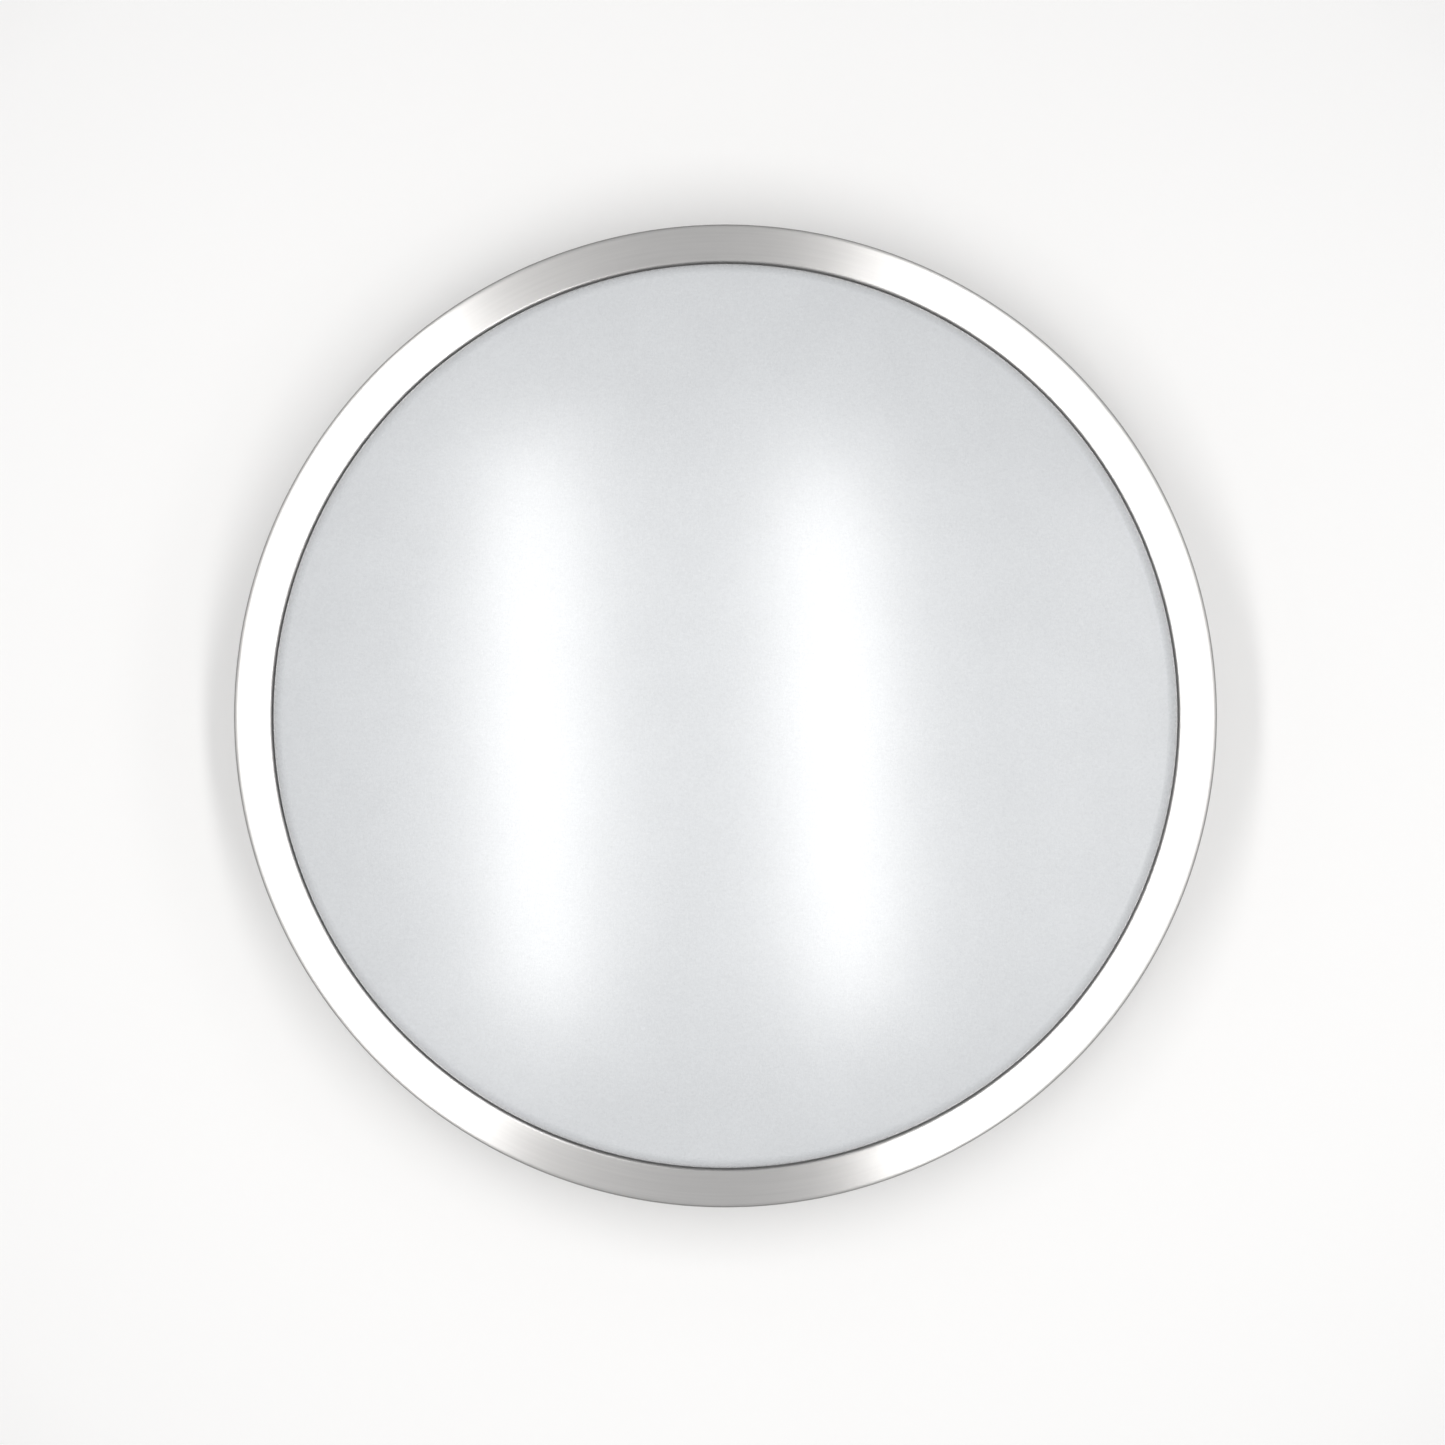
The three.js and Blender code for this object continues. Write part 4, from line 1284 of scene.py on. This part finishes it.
@dataclass
class Pan:
    """The white pan, its bush, and the springs riveted to its wall."""

    sheet: float = 1.0 * MM
    corner: float = 5.0 * MM
    hem_out: float = 1.5 * MM
    seat_inner: float = 77.0 * MM
    seat_outer: float = 137.0 * MM
    seat_rise: float = 3.0 * MM
    seat_slope: float = 4.0 * MM
    inlet: float = 11.0 * MM
    keyhole_x: float = 44.45 * MM
    keyhole_travel: float = 12.0 * MM
    keyhole_radii: tuple[float, float] = (4.8 * MM, 2.5 * MM)
    hole: float = 1.75 * MM
    floor_holes: tuple[tuple[float, float], ...] = (
        (-46.5 * MM, 43.0 * MM), (46.5 * MM, 43.0 * MM), (36.0 * MM, -40.0 * MM), (14.8 * MM, -38.0 * MM),
    )
    seat_hole_ring: float = 107.0 * MM
    seat_holes: int = 6
    spring_angles: tuple[float, ...] = (30.0, 150.0, 270.0)

    def middle(self) -> Profile:
        """The pan's middle line from the axis to the hem, with every bend rounded.

        The seat's slope is half a wave: the rise times (1 - cos t) / 2 while t goes from 0 to pi.

        Returns:
            Rows of (radius, height), from the axis outwards.
        """
        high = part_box("back_pan")[1]
        half = self.sheet / 2
        wave = (1 - np.cos(np.linspace(0, math.pi, 9))) / 2
        rise_r = np.linspace(self.seat_inner - self.seat_slope, self.seat_inner, 9)
        fall_r = np.linspace(self.seat_outer, self.seat_outer + self.seat_slope, 9)
        wall_r = high.x - self.hem_out - half * 0.7
        hem = high.z - self.hem_out
        return outline(
            (0, half),
            (20 * MM, half),
            np.column_stack((rise_r, half + self.seat_rise * wave)),
            np.column_stack((np.linspace(85, 129, 4) * MM, np.full(4, half + self.seat_rise))),
            np.column_stack((fall_r, half + self.seat_rise * wave[::-1])),
            arc((wall_r - self.corner + half, self.corner), self.corner - half, 270, 360, 10),
            np.column_stack((np.full(5, wall_r), np.linspace(6.5 * MM, hem - 1.2 * MM, 5))),
            arc((wall_r + 1.6 * MM, hem - 0.8 * MM), 1.6 * MM, 180, 132, 5),
        )

    def shell(self) -> Skin:
        """Both faces of the pan, turned round the axis."""
        return revolved(sheet_outline(self.middle(), self.sheet), 240)

    def holes(self) -> list[Skin]:
        """The tools for every hole in the pan's floor and seat.

        Returns:
            Closed skins that fill the holes.
        """
        low, high = -2 * MM, 6 * MM
        tools = [upright_bar(0, 0, low, high, self.inlet, 64)]
        for side in (-1, 1):
            half = self.keyhole_travel / 2
            tools += keyhole_tools(side * self.keyhole_x, -half, half, self.keyhole_radii)
        tools += [upright_bar(x, y, low, high, self.hole, 24) for x, y in self.floor_holes]
        around = range(self.seat_holes)
        seat = upright_bar(self.seat_hole_ring, 0, low, high, self.hole, 24)
        tools += [seat.turned(i * 360 / self.seat_holes) for i in around]
        return tools

    def bush(self) -> Skin:
        """The bush's section: a barrel in the hole and a rounded collar on the pan's floor.

        Returns:
            A closed skin.
        """
        low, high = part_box("inlet_bushing")
        collar = high.x
        barrel = self.inlet - 0.3 * MM
        inside = barrel - 2.6 * MM
        top = high.z
        return revolved(outline(
            (inside, low.z),
            (barrel - 0.4 * MM, low.z),
            (barrel, low.z + 0.4 * MM),
            (barrel, top - 1.6 * MM),
            (collar - 0.2 * MM, top - 1.6 * MM),
            arc((collar - 0.7 * MM, top - 0.7 * MM), 0.7 * MM, -20, 90, 6),
            arc((inside + 1.0 * MM, top - 1.0 * MM), 1.0 * MM, 90, 180, 6),
        ), 96)

    def rivet(self) -> Skin:
        """A rivet along X: two domed heads, each a part of a ball, on one shank.

        Returns:
            A closed skin on the side of +X.
        """
        low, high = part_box("spring_rivet_3")
        inner_seat, outer_seat = 154.7 * MM, 157.2 * MM
        head, shank, rise = 2.6 * MM, 1.4 * MM, 1.2 * MM
        ball = (head**2 + rise**2) / (2 * rise)
        slope = math.degrees(math.asin(head / ball))
        lower = arc((0, inner_seat - rise + ball), ball, -90, -90 + slope, 8)
        upper = arc((0, outer_seat + rise - ball), ball, 90 - slope, 90, 8)
        lower[0, 0] = upper[-1, 0] = 0
        upright = revolved(outline(lower, (shank, inner_seat), (shank, outer_seat), upper), 32)
        middle_z = (low.z + high.z) / 2
        return upright.mapped(lambda p: np.column_stack((p[:, 2], p[:, 1], middle_z - p[:, 0]))).outwards()

    def build(self, nodes: dict[str, bpy.types.Object]) -> None:
        """Makes the pan's pieces and fits them to the housing.

        Args:
            nodes: The frame's objects by the names of their nodes.
        """
        pan = make_object("pan", self.shell())
        pierce(pan, self.holes())
        fit(pan, Body.HOUSING, Finishes.ENAMEL, ["back_pan"])
        bush = make_object("bush", self.bush())
        fit(bush, Body.HOUSING, Finishes.RUBBER, ["inlet_bushing"])
        for number, angle in enumerate(self.spring_angles, start=1):
            ease(nodes[f"spring_clip_{number}"], Finishes.SPRING, 0.14 * MM)
            rivet = make_object(f"rivet_{number}", self.rivet().turned(angle))
            fit(rivet, Body.HOUSING, Finishes.ZINC, [f"spring_rivet_{number}"])


# ------------------------------------------------------------------ the light engine

@dataclass
class LightEngine:
    """The ring-shaped LED board with its chips, pads and screws, and the socket that feeds it."""

    inner: float = 80.0 * MM
    outer: float = 134.0 * MM
    edge: float = 0.15 * MM
    screw_ring: float = 107.0 * MM
    screws: int = 6
    hole: float = 1.75 * MM
    chip_rings: tuple[tuple[float, int], ...] = ((94.0 * MM, 30), (120.0 * MM, 42))
    chip: tuple[float, float, float] = (2.8 * MM, 3.5 * MM, 0.78 * MM)
    thickness: float = 1.6 * MM

    def levels(self) -> tuple[float, float]:
        """Heights of the board's under and upper faces."""
        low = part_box("led_board")[0].z
        return low, low + self.thickness

    def board(self) -> Skin:
        """The board's section: a rectangle with its four edges broken.

        Returns:
            A closed skin.
        """
        low, high = self.levels()
        cut = self.edge
        radii = np.linspace(self.inner + cut, self.outer - cut, 10)
        return revolved(outline(
            (self.inner, low + cut),
            (self.inner, high - cut),
            np.column_stack((radii, np.full(10, high))),
            (self.outer, high - cut),
            (self.outer, low + cut),
            np.column_stack((radii[::-1], np.full(10, low))),
        ), 240)

    def around_chips(self, make: Callable[[float], Skin]) -> Skin:
        """One copy of a skin for each chip, made at its ring's radius and turned to its angle.

        Args:
            make: Makes one skin from its ring's radius.

        Returns:
            All the copies as one skin.
        """
        return joined([
            make(radius).turned((i + 0.5) * 360 / count)
            for radius, count in self.chip_rings
            for i in range(count)
        ])

    def chip_housing(self, radius: float) -> Skin:
        """A chip's white housing."""
        high = self.levels()[1]
        return rounded_block(self.chip, (radius, 0, high + self.chip[2] / 2), 0.12 * MM, 1)

    def chip_window(self, radius: float) -> Skin:
        """The yellow window, a slightly domed block let into the housing's top.

        Args:
            radius: The chip's distance from the axis.

        Returns:
            A closed skin.
        """
        high = self.levels()[1] + self.chip[2]
        size = (self.chip[0] - 0.7 * MM, self.chip[1] - 0.8 * MM, 0.1 * MM)
        return rounded_block(size, (radius, 0, high), 0.04 * MM, 1)

    def chip_pads(self, radius: float) -> Skin:
        """The two solder fillets at a chip's ends: low rounded blocks that stand out by half a millimetre.

        Args:
            radius: The chip's distance from the axis.

        Returns:
            One skin of two shells.
        """
        high = self.levels()[1]
        size = (self.chip[0] * 0.8, 0.8 * MM, 0.22 * MM)
        reach = self.chip[1] / 2 + 0.2 * MM
        return joined([
            rounded_block(size, (radius, side * reach, high + 0.06 * MM), 0.1 * MM, 1) for side in (-1, 1)
        ])

    def screw(self) -> Skin:
        """One board screw at the first hole."""
        return seated_screw("board_screw_1", self.levels()[1] + WASHER).moved((self.screw_ring, 0, 0))

    def build(self, nodes: dict[str, bpy.types.Object]) -> None:
        """Makes the board's pieces and fits them to the housing.

        Args:
            nodes: The frame's objects by the names of their nodes.
        """
        board = make_object("led_board_sheet", self.board())
        hole = upright_bar(self.screw_ring, 0, 2 * MM, 9 * MM, self.hole, 24)
        pierce(board, [hole.turned(i * 360 / self.screws) for i in range(self.screws)])
        fit(board, Body.HOUSING, BOARD_MASK, ["led_board"])
        for name, make, finish in (
            ("chip_housings", self.chip_housing, Finishes.CHIP),
            ("chip_windows", self.chip_window, Finishes.PHOSPHOR),
            ("chip_solder", self.chip_pads, Finishes.SOLDER),
        ):
            fit(make_object(name, self.around_chips(make)), Body.HOUSING, finish)
        for i in range(self.screws):
            screw = make_object(f"board_screw_{i + 1}_head", self.screw().turned(i * 360 / self.screws))
            fit(screw, Body.HOUSING, Finishes.ZINC, [f"board_screw_{i + 1}"])
        ease(nodes["board_connector"], Finishes.WHITE_NYLON, 0.22 * MM)


# ------------------------------------------------------------------ power supply, terminal, earth point

@dataclass
class PowerSupply:
    """The driver's case with its screws, and the circuit inside it."""

    screw_x: float = 46.5 * MM
    screw_y: float = 43.0 * MM
    ear: float = 2.0 * MM
    rib: tuple[float, float, float] = (0.9 * MM, 24.0 * MM, 0.8 * MM)
    rib_pitch: float = 2.6 * MM
    ribs: int = 6

    def rib_bank(self) -> Skin:
        """Two banks of moulded ribs on the cover's top, each rib let half into it.

        Returns:
            One skin with a shell for each rib.
        """
        low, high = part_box("driver_cover")
        middle_y = (low.y + high.y) / 2
        steps = np.arange(self.ribs) * self.rib_pitch
        places = np.concatenate((low.x + 6 * MM + steps, high.x - 6 * MM - steps))
        level = high.z - self.rib[2] / 2 + 0.35 * MM
        return joined([rounded_block(self.rib, (x, middle_y, level), 0.3 * MM, 3) for x in places])

    def sleeve(self) -> Skin:
        """The capacitor: a can with a rolled neck near its top and rounded ends.

        Returns:
            A closed skin.
        """
        low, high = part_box("driver_capacitor")
        radius = (high.x - low.x) / 2
        middle = (*box_middle("driver_capacitor")[:2], 0)
        neck = high.z - 2.4 * MM
        return revolved(outline(
            (0, low.z),
            arc((radius - 0.6 * MM, low.z + 0.6 * MM), 0.6 * MM, -90, 0, 5),
            (radius, neck - 0.8 * MM),
            arc((radius + 0.5 * MM, neck), 0.8 * MM, 240, 120, 6),
            (radius, neck + 0.8 * MM),
            arc((radius - 0.5 * MM, high.z - 0.5 * MM), 0.5 * MM, 0, 90, 5),
            (0, high.z),
        ), 48).moved(middle)

    def winding(self) -> Skin:
        """The choke's wire, wound round its core.

        At turn angle t the wire is on the core's middle circle at angle t / turns, pushed out by the
        winding's radius times (cosine, sine) of t, so that it closes after a whole number of turns.

        Returns:
            A closed skin.
        """
        low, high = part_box("driver_choke")
        turns, wire = 26, 0.28 * MM
        outer, inner = (high.x - low.x) / 2, 2.5 * MM
        ring, across = (outer + inner) / 2, (outer - inner) / 2 - wire
        up = (high.z - low.z) / 2 - wire
        t = np.linspace(0, TURN * turns, turns * 14 + 1)
        radius = ring + across * np.cos(t)
        path = np.column_stack((
            radius * np.cos(t / turns * 0.94),
            radius * np.sin(t / turns * 0.94),
            up * np.sin(t),
        ))
        return swept(path + box_middle("driver_choke"), np.full(len(path), wire), 8)

    def core(self) -> Skin:
        """The choke's ring core, a little smaller than its winding.

        Returns:
            A closed skin.
        """
        low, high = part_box("driver_choke")
        outer, inner = (high.x - low.x) / 2 - 0.6 * MM, 3.1 * MM
        half = (high.z - low.z) / 2 - 0.6 * MM
        turn = np.radians(np.linspace(0, 360, 24, endpoint=False))
        section = np.column_stack((
            (outer + inner) / 2 + (outer - inner) / 2 * np.sign(np.cos(turn)) * np.abs(np.cos(turn)) ** 0.5,
            half * np.sign(np.sin(turn)) * np.abs(np.sin(turn)) ** 0.5,
        ))
        return revolved(section, 48).moved(box_middle("driver_choke"))

    def build(self, nodes: dict[str, bpy.types.Object]) -> None:
        """Dresses the case and the circuit and fits them to the housing.

        Args:
            nodes: The frame's objects by the names of their nodes.
        """
        for name, finish, radius in (
            ("driver_base", Finishes.WHITE_NYLON, 0.4 * MM),
            ("driver_cover", Finishes.WHITE_NYLON, 0.55 * MM),
            ("driver_board", Finishes.GREEN_BOARD, 0.1 * MM),
            ("driver_transformer", Finishes.TAPE, 0.3 * MM),
        ):
            ease(nodes[name], finish, radius, 3)
        ribs = make_object("driver_cover_ribs", self.rib_bank())
        fit(ribs, Body.HOUSING, Finishes.WHITE_NYLON)
        sleeve = make_object("capacitor_can", self.sleeve())
        fit(sleeve, Body.HOUSING, Finishes.SLEEVE, ["driver_capacitor"])
        winding = make_object("choke_winding", self.winding())
        fit(winding, Body.HOUSING, Finishes.COPPER, ["driver_choke"])
        core = make_object("choke_core", self.core())
        fit(core, Body.HOUSING, Finishes.RUBBER)
        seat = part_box("driver_base")[0].z + self.ear + WASHER
        for side, name in ((-1, "driver_screw_left"), (1, "driver_screw_right")):
            screw = seated_screw(name, seat).moved((side * self.screw_x, self.screw_y, 0))
            fit(make_object(f"{name}_head", screw), Body.HOUSING, Finishes.ZINC, [name])


@dataclass
class Terminal:
    """The lever terminal, its screw and the earth point beside it."""

    poles: tuple[str, ...] = ("line", "neutral", "ground")
    seats: tuple[tuple[str, float, float, str], ...] = (
        ("terminal_screw", 3.6 * MM, 3.0 * MM, "zinc_plate"),
        ("ground_screw", 2.4 * MM, 3.0 * MM, "green_screw"),
    )

    def build(self, nodes: dict[str, bpy.types.Object]) -> None:
        """Dresses the terminal and the earth point; each lever keeps its own body.

        Args:
            nodes: The frame's objects by the names of their nodes.
        """
        ease(nodes["terminal_body"], Finishes.GREY_NYLON, 0.3 * MM)
        for pole in self.poles:
            ease(nodes[f"terminal_lever_{pole}"], Finishes.LEVER, 0.3 * MM, 3)
        ease(nodes["ground_lug"], Finishes.ZINC, 0.15 * MM)
        for name, seat, head, slot in self.seats:
            screw = seated_screw(name, seat, head).moved((*box_middle(name)[:2], 0))
            finish = Finishes.GREEN_SCREW if slot == "green_screw" else Finishes.ZINC
            fit(make_object(f"{name}_head", screw), Body.HOUSING, finish, [name])


# ------------------------------------------------------------------ inner wires

@dataclass(frozen=True)
class Wire:
    """One insulated wire along listed points, in millimetres."""

    node: str
    finish: Finish
    slot: str
    route: tuple[tuple[float, float, float], ...]
    radius: float = 0.98 * MM

    def skin(self) -> Skin:
        """The insulation: a round bar whose ends are turned in by a quarter of its radius.

        Returns:
            A closed skin.
        """
        path = smooth_path(np.array(self.route) * MM, 12 * len(self.route))
        radii = np.full(len(path), self.radius)
        radii[[0, -1]] *= 0.75
        return swept(path, radii, 16)

    def build(self) -> None:
        """Makes the wire and fits it to the housing."""
        piece = make_object(f"{self.node}_insulation", self.skin(), SOFT_ANGLE)
        fit(piece, Body.HOUSING, self.finish, [self.node])


@dataclass
class Wiring:
    """The five wires inside the pan."""

    entry: float = 5.0
    notch: float = 11.4
    landing: float = 8.2
    floor: float = 2.4
    socket_angle: float = 12.0
    socket_z: float = 8.2

    def at_socket(self, radius: float, across: float) -> tuple[float, float, float]:
        """A point given in the socket's own directions, outwards and across.

        Args:
            radius: Distance outwards from the sign's axis, in millimetres.
            across: Distance across that line, in millimetres.

        Returns:
            The point, in millimetres.
        """
        angle = math.radians(self.socket_angle)
        return (
            radius * math.cos(angle) - across * math.sin(angle),
            radius * math.sin(angle) + across * math.cos(angle),
            self.socket_z,
        )

    def supply(self) -> list[Wire]:
        """The wires from the terminal to the driver and to the earth point.

        Returns:
            The three wires, not made yet.
        """
        entry, notch, landing, floor = self.entry, self.notch, self.landing, self.floor
        line = (
            (-6.6, -47, entry), (-6.6, -53, entry), (-9.5, -56, 3.6), (-25, -55, floor), (-44, -43, floor),
            (-57, -21, floor), (-60, 0, floor), (-57, 16, 6), (-51, 24.2, notch - 0.5), (-45, 25.2, notch),
            (-39, 25.2, notch), (-35, 25.2, landing),
        )
        neutral = (
            (0, -47, entry), (0, -54, entry), (-6, -60, 3.4), (-27, -59.5, floor), (-48, -46.5, floor),
            (-61.5, -22, floor), (-64.5, 2, floor), (-60.5, 20, 6), (-53, 28.3, notch - 0.5),
            (-45, 28.8, notch), (-39, 28.8, notch), (-35, 28.8, landing),
        )
        ground = (
            (6.6, -47, entry), (6.6, -54, entry), (10, -59.5, 3.4), (22, -63, floor), (32, -61.5, floor),
            (36, -55.5, 3.1), (36, -52.3, 3.1),
        )
        return [
            Wire("line_wire", Finishes.WIRE_BLACK, "wire_black", line),
            Wire("neutral_wire", Finishes.WIRE_WHITE, "wire_white", neutral),
            Wire("ground_wire", Finishes.WIRE_GREEN, "wire_green", ground),
        ]

    def lamp(self) -> list[Wire]:
        """The two wires from the driver to the board's socket.

        Returns:
            The two wires, not made yet.
        """
        wires = []
        for node, side, finish, slot in (
            ("led_wire_plus", 1, Finishes.WIRE_RED, "wire_red"),
            ("led_wire_minus", -1, Finishes.WIRE_BLACK, "wire_black"),
        ):
            y = 27 + side * 1.8
            route = (
                (35, y, self.landing), (39, y, self.notch), (45, y, self.notch),
                (54, y - 1.2, self.notch - 1.2), (66, y - 5, self.notch - 2.4),
                self.at_socket(78, side * 1.7), self.at_socket(86, side * 1.7),
            )
            wires.append(Wire(node, finish, slot, route))
        return wires

    def build(self) -> None:
        """Makes all five wires."""
        for wire in self.supply() + self.lamp():
            wire.build()


# ------------------------------------------------------------------ stage

@dataclass(frozen=True)
class Strip:
    """One rectangular soft light that shines straight down.

    It sends out radiance L over an area A, so its power is pi times L times A.
    """

    middle: tuple[float, float]
    turn: float
    size: tuple[float, float]
    radiance: float

    def build(self, name: str, height: float) -> None:
        """Hangs the light at a height.

        Args:
            name: The light's name.
            height: How high it hangs, in metres.
        """
        lamp = bpy.data.lights.new(name, "AREA")
        lamp.shape = "RECTANGLE"
        lamp.size, lamp.size_y = self.size
        lamp.energy = math.pi * self.radiance * self.size[0] * self.size[1]
        lamp.color = (1.0, 0.995, 0.985)
        holder = bpy.data.objects.new(name, lamp)
        holder.location = (*self.middle, height)
        holder.rotation_euler = (0, 0, math.radians(self.turn))
        bpy.context.scene.collection.objects.link(holder)


@dataclass
class Stage:
    """The pale floor, the soft studio light and the camera straight above the face."""

    camera_height: float = 0.646
    camera_at: tuple[float, float] = (-0.001, -0.0022)
    view_width: float = 0.4840
    view_level: float = 0.046
    sensor: float = 36.0
    light_height: float = 0.56
    lights: tuple[Strip, ...] = (
        Strip((-0.173, -0.0120), 1.3, (0.060, 0.540), 12.8),
        Strip((0.102, -0.0230), 3.2, (0.060, 0.514), 12.8),
        Strip((0.400, -0.0200), 0.0, (0.220, 0.500), 1.3),
    )
    sky: tuple[float, float] = (0.15, 0.53)

    def floor(self) -> None:
        """A wide matt floor that rises softly far behind the sign.

        Its height is 0.35 times the square of how far it lies beyond 1.2 m from the middle.
        """
        across = np.linspace(-2.6, 2.6, 53)
        x, y = np.meshgrid(across, across, indexing="ij")
        beyond = np.clip(np.hypot(x, y) - 1.2, 0, None)
        points = np.stack((x, y, 0.35 * beyond**2 - 0.0002), axis=2).reshape(-1, 3)
        skin = Skin(points, grid_faces(len(across), len(across), False, False)[:, ::-1])
        piece = make_object("floor", skin, SOFT_ANGLE)
        # The floor's colour carries painted light far out and painted shade round the sign.
        piece.data.materials.append(Paper("floor_paper", (0.905, 0.90, 0.895), 0.95).material())

    def surround(self) -> None:
        """Soft light from all round, dimmer along the horizon than straight above.

        The strength goes from the first sky value to the second as the upward part of the direction goes
        from 0 to 0.7.
        """
        world = bpy.data.worlds.new("studio")
        world.use_nodes = True
        tree = Tree(world.node_tree)
        background = world.node_tree.nodes["Background"]
        tree.feed(background.inputs["Color"], (0.985, 0.99, 1.0, 1.0))
        direction = tree.node("SeparateXYZ")
        tree.feed(direction.inputs[0], tree.place())
        tree.feed(background.inputs["Strength"], tree.spread(direction.outputs["Z"], 0.0, 0.7, *self.sky))
        bpy.context.scene.world = world

    def camera(self) -> None:
        """A camera that looks straight down and sees view_width at the ring's level."""
        lens = bpy.data.cameras.new("camera")
        lens.sensor_width = self.sensor
        lens.lens = self.sensor * (self.camera_height - self.view_level) / self.view_width
        lens.clip_start = 0.01
        lens.clip_end = 20.0
        holder = bpy.data.objects.new("camera", lens)
        holder.location = (*self.camera_at, self.camera_height)
        bpy.context.scene.collection.objects.link(holder)
        bpy.context.scene.camera = holder

    def build(self) -> None:
        """Sets the camera, the floor and the lights."""
        self.camera()
        self.floor()
        for number, light in enumerate(self.lights, start=1):
            light.build(f"strip_{number}", self.light_height)
        self.surround()
        bpy.context.scene.view_settings.view_transform = "Standard"


# ------------------------------------------------------------------ the whole sign


def main() -> None:
    """Builds the stage and every sub-assembly round the frame."""
    logging.basicConfig(level=logging.INFO, format="%(name)s %(message)s")
    for old in list(bpy.data.objects):
        bpy.data.objects.remove(old)
    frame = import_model()
    nodes = frame["nodes"]
    Stage().build()
    Face().build(nodes)
    Pan().build(nodes)
    LightEngine().build(nodes)
    PowerSupply().build(nodes)
    Terminal().build(nodes)
    Wiring().build()


if __name__ == "__main__":
    main()
